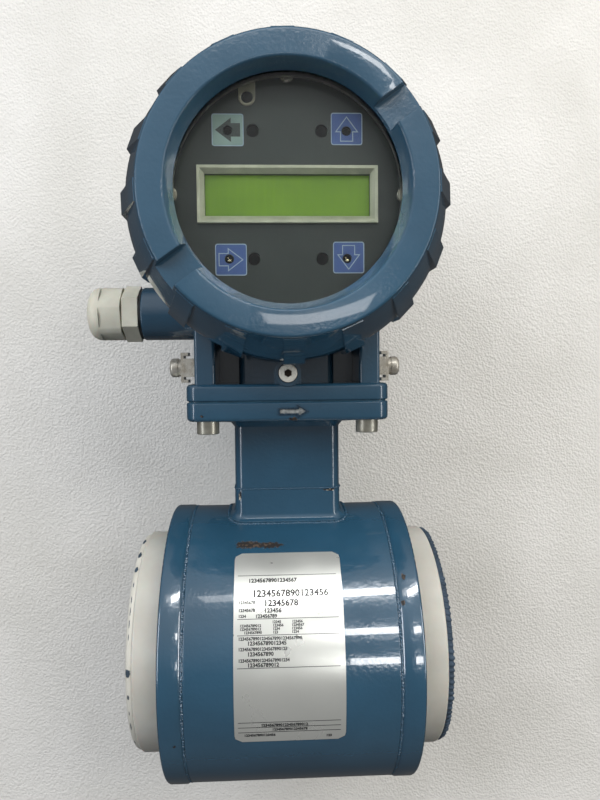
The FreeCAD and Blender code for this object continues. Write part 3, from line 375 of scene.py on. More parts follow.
# Sprayed enamel on castings and welded steel. Its gloss and fine orange peel break up
# reflections, and chips show dark rust or bare metal. Sizes and depths in mm.
enamel = {"lit": "#274B61", "deep": "#224256", "clouds": 35, "sheen": 14,
          "rough": (0.14, 0.24), "peel": 1.5, "peelDepth": 0.085, "swell": 8.0,
          "swellDepth": 0.14, "edge": 0.7, "rust": "#15100D", "bare": "#4A3C30",
          "chipDepth": 0.12}


def enamelRecipe(chips=(), bare=enamel["bare"]):
    def recipe(tree, spot):
        colour = mottled(tree, spot, enamel["clouds"], enamel["lit"], enamel["deep"], 4)
        rough = uneven(tree, spot, enamel["sheen"], *enamel["rough"])
        inputs = {"Coat Weight": 1.0, "Coat Roughness": 0.04, "IOR": 1.5}
        peel = addNode(tree, "ShaderNodeTexNoise", {
            "Vector": spot, "Scale": 1 / (enamel["peel"] * mm), "Detail": 1.0})
        swell = addNode(tree, "ShaderNodeTexNoise", {
            "Vector": spot, "Scale": 1 / (enamel["swell"] * mm), "Detail": 2.0})
        layers = [(swell, enamel["swellDepth"]), (peel, enamel["peelDepth"])]
        if chips:
            mask = patches(tree, spot, chips)
            worn = uneven(tree, spot, 1.5, 0, 1, edges=(0.52, 0.62))
            ground = addNode(tree, "ShaderNodeMix", {0: worn, 6: enamel["rust"], 7: bare},
                             **blend)
            colour = addNode(tree, "ShaderNodeMix", {0: mask, 6: colour, 7: ground}, **blend)
            rough = addNode(tree, "ShaderNodeMapRange", {
                "Value": mask, "To Min": rough, "To Max": 0.75})
            inputs["Coat Weight"] = addNode(tree, "ShaderNodeMapRange", {
                "Value": mask, "To Min": 1.0, "To Max": 0.0})
            sunken = addNode(tree, "ShaderNodeMath", {0: 0.0, 1: mask}, operation="SUBTRACT")
            layers.append((sunken, enamel["chipDepth"]))
        inputs.update({"Base Color": colour, "Roughness": rough,
                       "Normal": relief(tree, layers, enamel["edge"])})
        return inputs
    return recipe


def plainRecipe(first, second, size, rough, grain=0.6, depth=0.02, edge=0.0, **fixed):
    # a solid of one stuff: two close tones in patches, roughness that wanders, fine grain
    def recipe(tree, spot):
        inputs = {"Base Color": mottled(tree, spot, size, first, second, 4),
                  "Roughness": uneven(tree, spot, size / 2, *rough)}
        fine = addNode(tree, "ShaderNodeTexNoise", {"Vector": spot, "Detail": 3.0,
                                                    "Scale": 1 / (grain * mm)})
        inputs["Normal"] = relief(tree, [(fine, depth)], edge)
        inputs.update({name.replace("_", " "): setting for name, setting in fixed.items()})
        return inputs
    return recipe


turned = {"stain": 4, "streak": 25.0, "sheen": 3, "depth": 0.015}   # mm


def turnedRecipe(first, second, rough, pitch=0.35, axis=0, edge=0.2, metal=0.85):
    # turned or drawn metal: fine lines round or along an axis, with stain in patches
    def recipe(tree, spot):
        stretch = [1 / ((pitch if number == axis else turned["streak"]) * mm)
                   for number in range(3)]
        lines = addNode(tree, "ShaderNodeVectorMath", {0: spot, 1: stretch},
                        operation="MULTIPLY")
        marks = addNode(tree, "ShaderNodeTexNoise", {"Vector": lines, "Scale": 1.0,
                                                     "Detail": 3.0})
        return {"Base Color": mottled(tree, spot, turned["stain"], first, second, 4),
                "Metallic": metal, "Roughness": uneven(tree, spot, turned["sheen"], *rough),
                "Normal": relief(tree, [(marks, turned["depth"])], edge)}
    return recipe


# Chips in the enamel: centre and half sizes in mm.
chips = {
    "shell": [((-19, -35.0, 55.6), (5.5, 4.0, 1.5)), ((-9.0, -35.4, 55.3), (6.0, 3.5, 1.1)),
              ((-14, -35.2, 55.5), (3.0, 3.0, 0.8)),
              ((49.8, -49.2, 43.5), (1.0, 1.6, 1.5)), ((48.4, -56.0, 34.2), (1.0, 1.3, 1.2)),
              ((-49.9, -61.8, -22.2), (0.8, 1.0, 1.1))],
    "neck": [((-23.4, -18.0, 75.0), (1.2, 1.4, 2.8)), ((20.6, -18.2, 77.3), (2.8, 1.2, 0.7))],
    "plate": [((2.0, -44.2, 113.9), (2.5, 1.2, 0.9)), ((-38.0, -44.2, 115.2), (1.0, 1.0, 0.8))],
    "cover": [((-49.5, -88.0, 168.5), (1.2, 1.5, 1.0))],
}

# The inlet ring is smeared with white; its dark rubber shows in dashes round the rim:
# degrees above the front, half width and half length in mm.
smears = {"place": -71.3, "radius": 51.4, "dashes": (
    (5, 1.3, 1.9), (57, 1.0, 1.6), (68, 1.0, 2.2), (82, 0.9, 2.6), (-7, 0.5, 1.2),
    (40, 0.22, 1.8), (34, 0.2, 2.2), (28, 0.22, 1.6), (22, 0.2, 1.4), (-25, 0.25, 2.4),
    (-40, 0.25, 1.6), (-58, 0.3, 2.6), (-76, 0.35, 2.2), (48, 0.25, 1.4), (-16, 0.2, 1.2))}


def smearedRecipe(tree, spot):
    marks = []
    for turn, wide, long in smears["dashes"]:
        angle = math.radians(turn)
        marks.append(((smears["place"], -smears["radius"] * math.cos(angle),
                       smears["radius"] * math.sin(angle)), (wide, long, long)))
    mask = patches(tree, spot, marks, 0.5)
    pale = mottled(tree, spot, 9, "#C8C6BC", "#B9B6AB")
    dark = mottled(tree, spot, 2, "#2B3843", "#3A4A57")
    colour = addNode(tree, "ShaderNodeMix", {0: mask, 6: pale, 7: dark}, **blend)
    return {"Base Color": colour, "Roughness": 0.5,
            "Normal": relief(tree, [(mask, 0.15)], 0.3)}


finishes = {   # of single solids
    "inlet_end_ring": makeMaterial("smeared elastomer", smearedRecipe),
    # dull white zinc, brighter than the steel round it
    "front_jam_screw": makeMaterial("zinc-plated steel", plainRecipe(
        "#EFEDE2", "#E2DFD3", 3, (0.22, 0.34), 0.4, 0.02, 0.2, Metallic=0.15)),
    "body_shell": makeMaterial("blue enamel, chipped", enamelRecipe(chips["shell"])),
    "neck_stub": makeMaterial("blue enamel, scraped", enamelRecipe(
        chips["neck"], bare="#C4BCA8")),
    "adapter_flange": makeMaterial("blue enamel on casting", enamelRecipe(chips["plate"])),
    "front_cover": makeMaterial("blue enamel on cover", enamelRecipe(chips["cover"])),
    # its edge was sprayed with the plates, so the joint shows no dark line
    "base_gasket": makeMaterial("painted-over gasket edge", plainRecipe(
        "#2A5064", "#1F3D4D", 5, (0.30, 0.40), 0.5, 0.02)),
}
slotFinishes = {   # of all other solids, by material slot
    "blue_paint": makeMaterial("blue enamel", enamelRecipe()),
    # cut fluoropolymer: waxy, so light sinks in a little and edges glow
    "ptfe": makeMaterial("skived PTFE", plainRecipe(
        "#C3C1B8", "#B2AFA5", 22, (0.32, 0.46), 1.4, 0.03, 0.5, IOR=1.38,
        Subsurface_Weight=0.15, Subsurface_Scale=0.004)),
    # matt rubber with a moulded grain
    "end_ring": makeMaterial("moulded elastomer", plainRecipe(
        "#3C4C5C", "#2C3844", 6, (0.5, 0.7), 0.8, 0.04, 0.3)),
    "inner_steel": makeMaterial("machined steel", turnedRecipe(
        "#A6A49E", "#8E8C86", (0.28, 0.40))),
    "coil_wire": makeMaterial("enamelled copper wire", turnedRecipe(
        "#B0683A", "#8A4A26", (0.25, 0.35), 0.7)),
    "insulator": makeMaterial("moulded PEEK", plainRecipe(
        "#D9D2BE", "#CFC6AE", 8, (0.4, 0.5))),
    "gasket_rubber": makeMaterial("black nitrile rubber", plainRecipe(
        "#1B1C1D", "#262728", 5, (0.5, 0.65), 0.5, 0.02)),
    # a low IOR keeps the window clear of strong reflections
    "sight_glass": makeMaterial("toughened glass", lambda tree, spot: {
        "Base Color": "#F3F7F5", "Roughness": 0.0, "IOR": 1.36, "Transmission Weight": 1.0}),
    # greyed by weather, with turning lines that stretch the highlights
    "dull_steel": makeMaterial("stainless steel, weathered", turnedRecipe(
        "#C4C2B5", "#A09C8D", (0.28, 0.42), 0.3, 2)),
    "bright_steel": makeMaterial("nickel-plated steel", turnedRecipe(
        "#E2DED2", "#B8B0A0", (0.18, 0.32), 0.3, 0, metal=0.6)),
    # off-white and slightly translucent, with soft highlights
    "gland_plastic": makeMaterial("moulded polyamide", plainRecipe(
        "#D8D5C4", "#C6C3B2", 9, (0.34, 0.5), 0.7, 0.02, 0.5, IOR=1.53,
        Subsurface_Weight=0.08, Subsurface_Scale=0.002)),
    "display_face": makeMaterial("printed polyester film", plainRecipe(
        "#2C3431", "#262E2B", 12, (0.42, 0.5), 0.3, 0.006, IOR=1.5)),
    "bezel_steel": makeMaterial("brushed stainless steel", plainRecipe(
        "#CFCFB9", "#B8B8A2", 6, (0.30, 0.40), 0.2, 0.01, 0.15, Metallic=0.35)),
    "circuit_board": makeMaterial("solder-masked board", plainRecipe(
        "#1F5A38", "#1A4A2E", 5, (0.3, 0.4), 1.0, 0.02)),
    "potting": makeMaterial("cast epoxy", plainRecipe(
        "#1E1F20", "#28292A", 12, (0.3, 0.45), 2.0, 0.05)),
    "terminal_plastic": makeMaterial("moulded phenolic", plainRecipe(
        "#202122", "#2A2B2B", 6, (0.45, 0.55))),
}

# Reflective display: yellow-green film behind glass, with two rows of sixteen faint
# character cells as large as real ones. Pitch in mm, and half a cell's share of it. It also
# glows a little: painted light, as the display has no backlight.
lcd = {"lit": "#74981C", "dim": "#668A16", "cell": "#4F6E22", "faint": 0.16,
       "glow": "#6E9A14", "strength": 0.14, "cells": {"X": (3.55, 0.41), "Z": (5.95, 0.46)}}


def lcdRecipe(tree, spot):
    fromMiddle = addNode(tree, "ShaderNodeVectorMath", {0: spot, 1: (0.0, 0.0, -headZ)},
                         operation="ADD")
    parts = addNode(tree, "ShaderNodeSeparateXYZ", {"Vector": fromMiddle}).node.outputs
    masks = []
    for axis, (pitch, share) in lcd["cells"].items():
        steps = addNode(tree, "ShaderNodeMath", {0: parts[axis], 1: pitch * mm},
                        operation="DIVIDE")
        part = addNode(tree, "ShaderNodeMath", {0: steps, 1: 0.5}, operation="PINGPONG")
        if axis == "Z":   # the gap between the two rows runs through the middle
            part = addNode(tree, "ShaderNodeMath", {0: 0.5, 1: part}, operation="SUBTRACT")
        masks.append(addNode(tree, "ShaderNodeMath", {0: part, 1: share},
                             operation="LESS_THAN"))
    inside = addNode(tree, "ShaderNodeMath", dict(enumerate(masks)), operation="MULTIPLY")
    faint = addNode(tree, "ShaderNodeMath", {0: inside, 1: lcd["faint"]},
                    operation="MULTIPLY")
    tone = mottled(tree, spot, 20, lcd["lit"], lcd["dim"])
    colour = addNode(tree, "ShaderNodeMix", {0: faint, 6: tone, 7: lcd["cell"]}, **blend)
    # the emission is painted light: nothing behind the film lights it
    return {"Base Color": colour, "Roughness": 0.32, "Emission Color": lcd["glow"],
            "Emission Strength": lcd["strength"]}


slotFinishes["lcd_green"] = makeMaterial("reflective liquid crystal", lcdRecipe)


def smoothRounds():
    # joins a solid's loose triangles and shades its round faces smoothly
    tree = bpy.data.node_groups.new("smoothRounds", "GeometryNodeTree")
    for way in ("INPUT", "OUTPUT"):
        tree.interface.new_socket("Mesh", in_out=way, socket_type="NodeSocketGeometry")
    joined = addNode(tree, "GeometryNodeMergeByDistance", {
        "Geometry": addNode(tree, "NodeGroupInput"), "Distance": 2e-6})
    steep = addNode(tree, "GeometryNodeInputMeshEdgeAngle")
    gentle = addNode(tree, "ShaderNodeMath", {0: steep, 1: math.radians(28)},
                     operation="LESS_THAN")
    faces = addNode(tree, "GeometryNodeSetShadeSmooth", {"Geometry": joined}, domain="FACE")
    edges = addNode(tree, "GeometryNodeSetShadeSmooth", {
        "Geometry": faces, "Shade Smooth": gentle}, domain="EDGE")
    addNode(tree, "NodeGroupOutput", {0: edges})
    return tree


def dressSolids():
    slotOf = {part["node"]: part["material_slot"] for part in frame["record"]["subparts"]}
    rounding = smoothRounds()
    for name, solid in nodes.items():
        finish = finishes.get(name) or slotFinishes[slotOf[name]]
        for slot in solid.material_slots:
            slot.material = finish
        rounds = solid.modifiers.new("smoothRounds", "NODES")
        rounds.node_group = rounding


dressSolids()
print("materials are on", len(nodes), "solids")


def onPanel(x, y, height):
    # x across, y up from the display's middle, height out of the panel towards the front
    return (x, panelFace / mm - height, headZ / mm + y)


def offsetLoop(loop, distance):
    # moves each side of a closed loop outwards; the loop runs counter-clockwise
    moved = []
    for before, here, after in zip(loop[-1:] + loop[:-1], loop, loop[1:] + loop[:1]):
        first = Vector((here[0] - before[0], here[1] - before[1])).normalized()
        second = Vector((after[0] - here[0], after[1] - here[1])).normalized()
        out = Vector((first.y + second.y, -first.x - second.x))
        out *= distance / (1 + first.dot(second))
        moved.append((here[0] + out.x, here[1] + out.y))
    return moved


def squareLoop(x, y, side, corner, steps=5):
    loop = []
    for turn, (sx, sy) in enumerate(((1, 1), (-1, 1), (-1, -1), (1, -1))):
        for step in range(steps + 1):
            angle = math.radians(90 * turn + 90 * step / steps)
            loop.append((x + sx * (side / 2 - corner) + corner * math.cos(angle),
                         y + sy * (side / 2 - corner) + corner * math.sin(angle)))
    return loop


def arrowLoop(x, y, turns, size):
    # an arrow that points along +x, turned by quarter turns and moved to its place
    length, head, half, shaft = size
    loop = [(-length / 2, -shaft / 2), (length / 2 - head, -shaft / 2),
            (length / 2 - head, -half), (length / 2, 0), (length / 2 - head, half),
            (length / 2 - head, shaft / 2), (-length / 2, shaft / 2)]
    for _ in range(turns):
        loop = [(-b, a) for a, b in loop]
    return [(x + a, y + b) for a, b in loop]


def roundLoop(x, y, across, up, sides=28):
    turns = [2 * math.pi * step / sides for step in range(sides)]
    return [(x + across / 2 * math.cos(t), y + up / 2 * math.sin(t)) for t in turns]


keys = {
    # mm: the printed squares, their arrows, the light holes and the sensor lenses
    "size": 12.3, "corner": 1.0, "line": 0.34, "film": 0.12, "ink": 0.05,
    "arrow": (9.7, 6.1, 4.6, 5.1), "eye": 23.1, "hole": 3.7, "gap": 0.3, "sensor": 13.4,
    "lens": 4.7, "level": 24.6, "deep": 1.5, "lensTop": 0.3, "chipTop": 0.5,
    # middle of each square and quarter turns of its arrow
    "places": {"upperLeft": (-23.0, 24.8, 2), "upperRight": (23.2, 25.4, 1),
               "lowerLeft": (-22.4, -24.9, 0), "lowerRight": (23.7, -24.2, 3)},
    # bright bits in the lower lenses: shift, width, height and sides
    "chips": ((0.1, -0.5, 1.4, 1.0, 14), (-0.5, 0.5, 0.5, 0.8, 10)),
}
blueFilm = makeMaterial("blue printed film", plainRecipe(
    "#43619F", "#3C5894", 8, (0.34, 0.42), 0.3, 0.006))
paleFilm = makeMaterial("pale printed film", plainRecipe(
    "#93ABA5", "#87A099", 8, (0.34, 0.42), 0.3, 0.006))
lineInk = makeMaterial("pale screen ink", plainRecipe(
    "#A9BCCD", "#9AAEC2", 4, (0.4, 0.5), 0.2, 0.004))
darkInk = makeMaterial("charcoal screen ink", plainRecipe(
    "#3C4644", "#343D3B", 4, (0.4, 0.5), 0.2, 0.004))
smokedLens = makeMaterial("smoked lens", plainRecipe(   # nearly black, with a soft gleam
    "#08090A", "#0C0D0E", 4, (0.3, 0.4), 0.5, 0.01, IOR=1.2))
leadFrame = makeMaterial("gold-plated lead frame", turnedRecipe(
    "#E9DCB8", "#B9A06A", (0.18, 0.3), 0.4))


def touchKeys():
    blueLoops, paleLoops, lineLoops, darkLoops = [], [], [], []
    lensLoops, chipLoops = [], []
    for name, (x, y, turns) in keys["places"].items():
        square = squareLoop(x, y, keys["size"], keys["corner"])
        inner = offsetLoop(square, -keys["line"])
        arrow = arrowLoop(x, y, turns, keys["arrow"])
        side, level = math.copysign(1, x), math.copysign(keys["level"], y)
        eye = side * keys["eye"]
        hole = roundLoop(eye, level, keys["hole"], keys["hole"])
        across = keys["hole"] - keys["gap"]
        lensLoops.append(roundLoop(eye, level, across, across))
        lensLoops.append(roundLoop(side * keys["sensor"], level, keys["lens"], keys["lens"]))
        lineLoops += [square, inner]
        if name == "upperLeft":
            paleLoops += [inner, hole]
            darkLoops += [arrow, hole]
        else:
            blueLoops += [inner, hole]
            lineLoops += [arrow, offsetLoop(arrow, -keys["line"])]
        if level < 0:
            chipLoops += [roundLoop(eye + a, level + b, wide, tall, sides)
                          for a, b, wide, tall, sides in keys["chips"]]
    film, top, floor = keys["film"], keys["film"] + keys["ink"], -keys["deep"]
    lensTop, chipTop = keys["lensTop"] + floor, keys["chipTop"] + floor
    for name, loops, low, high, material, slotName, edge in (
            ("keyFilmBlue", blueLoops, 0.0, film, blueFilm, "display_face", 0.0),
            ("keyFilmPale", paleLoops, 0.0, film, paleFilm, "display_face", 0.0),
            ("keyLines", lineLoops, 0.0, top, lineInk, "display_face", 0.0),
            ("keyArrowDark", darkLoops, film, top, darkInk, "display_face", 0.0),
            ("sensorLenses", lensLoops, floor, lensTop, smokedLens, None, 0.05),
            ("sensorChips", chipLoops, lensTop, chipTop, leadFrame, "bright_steel", 0.04)):
        prism(name, loops, low, high, onPanel, "meter", material, slotName, edge)


touchKeys()

# A clear pull tab at the top of the panel, held by one dark screw.
tab = {"x": -15.4, "y": 37.1, "half": 3.3, "top": 44.6, "thick": 0.7, "edge": 0.08,
       "hole": 4.6, "screw": 4.2, "screwTall": 0.45, "screwEdge": 0.1}
clearTab = makeMaterial("clear acetate tab", plainRecipe(
    "#A9A48E", "#8F8B7A", 5, (0.2, 0.3), 0.6, 0.02, IOR=1.49))


def pullTab():
    x, y, half = tab["x"], tab["y"], tab["half"]
    turns = [math.pi + math.pi * step / 16 for step in range(17)]
    outline = [(x + half * math.cos(t), y + half * math.sin(t)) for t in turns]
    outline += [(x + half, tab["top"]), (x - half, tab["top"])]
    hole, screw = [roundLoop(x, y, tab[part], tab[part]) for part in ("hole", "screw")]
    prism("panelTab", [outline, hole], 0.0, tab["thick"], onPanel, "meter", clearTab, None,
          tab["edge"])
    prism("panelTabScrew", [screw], 0.0, tab["screwTall"], onPanel, "meter", smokedLens,
          None, tab["screwEdge"])


pullTab()
print("display pieces are made")

# The rating label is bent round the body: x in mm, top and bottom in degrees above the
# front. Bare rules and plain digits stand where its lines of print are.
label = {"left": -24.6, "right": 22.4, "top": 53.3, "bottom": -18.8, "corner": 3.2,
         "radius": 65.70, "thick": 0.14, "rows": 48, "ink": 0.05}
rules = {"thick": 0.24, "left": -23.0, "right": 20.2,
         "levels": (43.4, 27.1, 21.4, 10.1, -10.2, -12.3, -14.4)}
digits = {
    "text": "1234567890" * 4, "scale": 1.38, "bold": (0.02, 0.042),
    "lines": (   # x, angle, height of the digits, how many
        (-18.4, 41.4, 1.8, 17), (-16.8, 36.4, 3.0, 16), (-11.8, 32.8, 2.7, 8),
        (-22.6, 33.1, 1.3, 8), (-22.6, 30.3, 1.3, 8), (-11.6, 30.1, 1.8, 6),
        (-22.6, 28.2, 1.2, 4), (-15.4, 28.1, 1.5, 9), (-8.2, 26.0, 1.1, 5),
        (0.2, 26.0, 1.1, 6), (-22.0, 24.8, 1.1, 12), (-8.0, 24.8, 1.1, 6),
        (0.0, 24.8, 1.1, 7), (-22.0, 23.6, 1.1, 12), (-8.0, 23.6, 1.1, 4),
        (0.0, 23.6, 1.1, 6), (-20.2, 22.4, 1.1, 10), (-8.0, 22.4, 1.1, 3),
        (0.0, 22.4, 1.1, 4), (-22.6, 20.3, 1.3, 30), (-18.8, 18.7, 1.6, 15),
        (-22.6, 16.7, 1.3, 23), (-18.8, 15.0, 1.6, 10), (-22.6, 12.8, 1.3, 24),
        (-18.8, 11.2, 1.6, 12), (-13.4, -11.4, 1.3, 22), (-8.8, -13.3, 1.2, 18),
        (-20.6, -15.7, 1.2, 16), (14.0, -16.8, 1.2, 3)),
}
arcDegree = math.radians(1) * label["radius"]   # mm of the label's height in one degree
silverFilm = makeMaterial("silvered polyester label", plainRecipe(   # a soft metal sheen
    "#D6D7D1", "#CBCCC6", 30, (0.26, 0.36), 0.5, 0.006, Metallic=0.7))
labelInk = makeMaterial("black label ink", plainRecipe(
    "#17181A", "#202224", 6, (0.45, 0.55), 0.3, 0.004))


def bentFace(x, degrees, height):
    # a point in mm on the round body: height is radial
    radius, angle = label["radius"] + height, math.radians(degrees)
    return (x, -radius * math.cos(angle), radius * math.sin(angle))


def labelPlate():
    corner, rows = label["corner"], label["rows"]
    wide = label["right"] - label["left"]
    tall = (label["top"] - label["bottom"]) * arcDegree
    middleX = (label["left"] + label["right"]) / 2
    middleY = (label["top"] + label["bottom"]) / 2 * arcDegree
    points, faces = [], []
    for row in range(rows + 1):
        level = tall * (row / rows - 0.5)
        over = max(0.0, abs(level) - (tall / 2 - corner))
        inset = corner - math.sqrt(max(0.0, corner ** 2 - over ** 2))
        for x in (-wide / 2 + inset, wide / 2 - inset):
            for height in (0.0, label["thick"]):
                points.append(bentFace(middleX + x, (middleY + level) / arcDegree, height))
    for a in range(0, 4 * rows, 4):
        b = a + 4
        faces += [(a + 1, a + 3, b + 3, b + 1), (a, b, b + 2, a + 2),
                  (a, a + 1, b + 1, b), (a + 2, b + 2, b + 3, a + 3)]
    last = 4 * rows
    faces += [(0, 2, 3, 1), (last, last + 1, last + 3, last + 2)]
    fromSolid("ratingLabel", points, faces, "meter", silverFilm)


def labelPrint():
    # drawn flat in mm as x, arc length and height, then bent round the body
    shell = bmesh.new()
    for level in rules["levels"]:
        for vertex in bmesh.ops.create_cube(shell, size=1.0)["verts"]:
            x = rules["left"] if vertex.co.x < 0 else rules["right"]
            y = level * arcDegree + rules["thick"] * vertex.co.y
            vertex.co = Vector((x, y, label["thick"] + label["ink"] * (vertex.co.z + 0.5)))
    for x, angle, height, count in digits["lines"]:
        words = bpy.data.curves.new("digits", "FONT")
        words.body = digits["text"][:count]
        words.size = height * digits["scale"]
        words.extrude = label["ink"] / 2
        words.resolution_u = 2
        words.offset = digits["bold"][0] + digits["bold"][1] * height
        flat = plainMesh(bpy.data.objects.new("digits", words))
        for vertex in flat.vertices:
            vertex.co = Vector((vertex.co.x + x, vertex.co.y - height / 2 + angle * arcDegree,
                                vertex.co.z + label["thick"] + label["ink"] / 2))
        shell.from_mesh(flat)
    mesh = bpy.data.meshes.new("labelPrint")
    bmesh.ops.remove_doubles(shell, verts=shell.verts, dist=1e-4)
    shell.to_mesh(mesh)
    shell.free()
    for vertex in mesh.vertices:
        x, y, z = vertex.co
        vertex.co = Vector(bentFace(x, y / arcDegree, z)) * mm
    newPiece("labelPrint", mesh, "meter", labelInk)


labelPlate()
labelPrint()

# The raised flow arrow on the plate's front edge, with its floor rubbed pale and its outline
# darkened as painted edge shade.
flowArrow = {"middle": (2.35, 117.3), "size": (13.2, 4.9, 3.0, 3.1), "line": 0.62,
             "low": -0.1, "high": 0.8, "floor": 0.12, "edge": 0.12}
# darker than the enamel: painted shade along the raised outline's edges
outlineShade = makeMaterial("enamel darkened as painted edge shade", plainRecipe(
    "#1A2C38", "#22384A", 2, (0.2, 0.35), 0.5, 0.05))
rubbed = makeMaterial("rubbed primer", plainRecipe(
    "#9A9D9A", "#4C5356", 1.4, (0.35, 0.5), 0.5, 0.05))


def onPlate(x, z, height):
    return (x, plateFront / mm - height, z)


outline = arrowLoop(*flowArrow["middle"], 0, flowArrow["size"])
floorLoop = offsetLoop(outline, -flowArrow["line"])
# the outline, coloured as painted edge shade
prism("flowArrow", [outline, floorLoop], flowArrow["low"], flowArrow["high"], onPlate,
      "meter", outlineShade, "blue_paint", flowArrow["edge"])
prism("flowArrowFloor", [floorLoop], flowArrow["low"], flowArrow["floor"], onPlate,
      "meter", rubbed, "blue_paint")
print("label and arrow are made")

# Weld beads, in mm: along the body's bands, round the neck's foot, where the bead bends
# over a body of the radius "round", and level round the neck.
seams = {
    "shellSeam1": {"place": -46.4, "radius": 65.1, "drop": 0.62, "count": 560, "seed": 3},
    "shellSeam2": {"place": 46.4, "radius": 65.1, "drop": 0.62, "count": 560, "seed": 4},
    "neckToeWeld": {"width": 57.6, "depth": 42.6, "corner": 8.0, "height": 0.0,
                    "round": 65.4, "drop": 0.8, "sway": 0.25, "count": 300, "seed": 7},
    "neckSeam": {"width": 50.9, "depth": 36.0, "corner": 5.4, "height": 78.1,
                 "round": 0.0, "drop": 0.52, "sway": 0.12, "count": 420, "seed": 11},
}
plainInputs = ("count", "seed")   # numbers that aren't lengths


def sizedInputs(sizes):
    # the named inputs of a Geometry Nodes group, with lengths turned to metres
    return {name.capitalize(): size if name in plainInputs else size * mm
            for name, size in sizes.items()}


def beadsAlong(path, tree, inputs):
    # lumpy painted weld metal: stretched drops set close together along a curve
    stops = addNode(tree, "GeometryNodeCurveToPoints", {
        "Curve": path, "Count": inputs["Count"]})
    sway = addNode(tree, "FunctionNodeRandomValue", {
        0: (-1.0, -1.0, -1.0), 1: (1.0, 1.0, 1.0), "Seed": inputs["Seed"]},
        data_type="FLOAT_VECTOR")
    sway = addNode(tree, "ShaderNodeVectorMath", {0: sway, "Scale": inputs["Sway"]},
                   operation="SCALE")
    stops = addNode(tree, "GeometryNodeSetPosition", {"Geometry": stops, "Offset": sway})
    drop = addNode(tree, "GeometryNodeMeshIcoSphere", {"Radius": inputs["Drop"],
                                                       "Subdivisions": 2})
    sizes = addNode(tree, "FunctionNodeRandomValue", {
        0: (0.85, 0.85, 0.85), 1: (1.15, 1.15, 1.12), "Seed": inputs["Seed"]},
        data_type="FLOAT_VECTOR")
    return addNode(tree, "GeometryNodeInstanceOnPoints", {
        "Points": stops, "Instance": drop, "Scale": sizes})


def roundPipe(tree, shape, place):
    # turns what lies flat so that it stands round the pipe's axis, at a place along it
    away = addNode(tree, "ShaderNodeCombineXYZ", {"X": place})
    return addNode(tree, "GeometryNodeTransform", {
        "Geometry": shape, "Translation": away, "Rotation": (0.0, math.pi / 2, 0.0)})


def roundSeam(name):
    # a bead round the pipe axis
    tree, inputs = geometryTree(name, Radius=0.1, Place=0.0, Drop=0.001, Sway=0.0002,
                                Count=100, Seed=1)
    circle = addNode(tree, "GeometryNodeCurvePrimitiveCircle", {
        "Radius": inputs["Radius"], "Resolution": 180})
    beads = beadsAlong(roundPipe(tree, circle, inputs["Place"]), tree, inputs)
    grow(name, tree, beads, slotFinishes["blue_paint"], "blue_paint",
         **sizedInputs(seams[name]))


def squareSeam(name):
    # a bead round the neck
    tree, inputs = geometryTree(name, Width=0.1, Depth=0.1, Corner=0.01, Height=0.0,
                                Round=0.0, Drop=0.001, Sway=0.0002, Count=100, Seed=1)
    square = addNode(tree, "GeometryNodeCurvePrimitiveQuadrilateral", {
        "Width": inputs["Width"], "Height": inputs["Depth"]})
    eased = addNode(tree, "GeometryNodeFilletCurve", {
        "Curve": square, "Radius": inputs["Corner"], "Count": 8}, mode="POLY")
    fine = addNode(tree, "GeometryNodeResampleCurve", {"Curve": eased, "Count": 240})
    # each point rises by its height on the round body: sqrt(round ** 2 - y ** 2)
    spot = addNode(tree, "ShaderNodeSeparateXYZ",
                   {"Vector": addNode(tree, "GeometryNodeInputPosition")}, output="Y")
    across = addNode(tree, "ShaderNodeMath", {0: spot, 1: 2.0}, operation="POWER")
    whole = addNode(tree, "ShaderNodeMath", {0: inputs["Round"], 1: 2.0}, operation="POWER")
    rise = addNode(tree, "ShaderNodeMath", {0: whole, 1: across}, operation="SUBTRACT")
    rise = addNode(tree, "ShaderNodeMath", {0: rise, 1: 0.0}, operation="MAXIMUM")
    rise = addNode(tree, "ShaderNodeMath", {0: rise}, operation="SQRT")
    rise = addNode(tree, "ShaderNodeMath", {0: rise, 1: inputs["Height"]}, operation="ADD")
    lift = addNode(tree, "ShaderNodeCombineXYZ", {"Z": rise})
    bent = addNode(tree, "GeometryNodeSetPosition", {"Geometry": fine, "Offset": lift})
    grow(name, tree, beadsAlong(bent, tree, inputs), slotFinishes["blue_paint"],
         "blue_paint", **sizedInputs(seams[name]))


for name, seam in seams.items():
    if "radius" in seam:
        roundSeam(name)
    else:
        squareSeam(name)

# Moulded knobs stand close together round the outlet sealing ring.
knobs = {"place": 71.0, "radius": 50.7, "count": 118, "long": 1.75, "across": 1.2,
         "seed": 5}


def ringKnobs():
    tree, inputs = geometryTree("ringKnobs", Radius=0.05, Place=0.07, Long=0.0015,
                                Across=0.001, Count=140, Seed=5)
    circle = addNode(tree, "GeometryNodeCurvePrimitiveCircle", {
        "Radius": inputs["Radius"], "Resolution": 180})
    stops = addNode(tree, "GeometryNodeCurveToPoints", {
        "Curve": circle, "Count": inputs["Count"]})
    drop = addNode(tree, "GeometryNodeMeshIcoSphere", {"Radius": inputs["Across"],
                                                       "Subdivisions": 2})
    stretch = addNode(tree, "ShaderNodeMath", {0: inputs["Long"], 1: inputs["Across"]},
                      operation="DIVIDE")
    shape = addNode(tree, "ShaderNodeCombineXYZ", {"X": 1.0, "Y": 1.0, "Z": stretch})
    vary = addNode(tree, "FunctionNodeRandomValue", {
        2: 0.8, 3: 1.12, "Seed": inputs["Seed"]}, output=1, data_type="FLOAT")
    sizes = addNode(tree, "ShaderNodeVectorMath", {0: shape, "Scale": vary},
                    operation="SCALE")
    knob = addNode(tree, "GeometryNodeInstanceOnPoints", {
        "Points": stops, "Instance": drop, "Scale": sizes})
    grow("ringKnobs", tree, roundPipe(tree, knob, inputs["Place"]),
         slotFinishes["end_ring"], "end_ring", **sizedInputs(knobs))


ringKnobs()

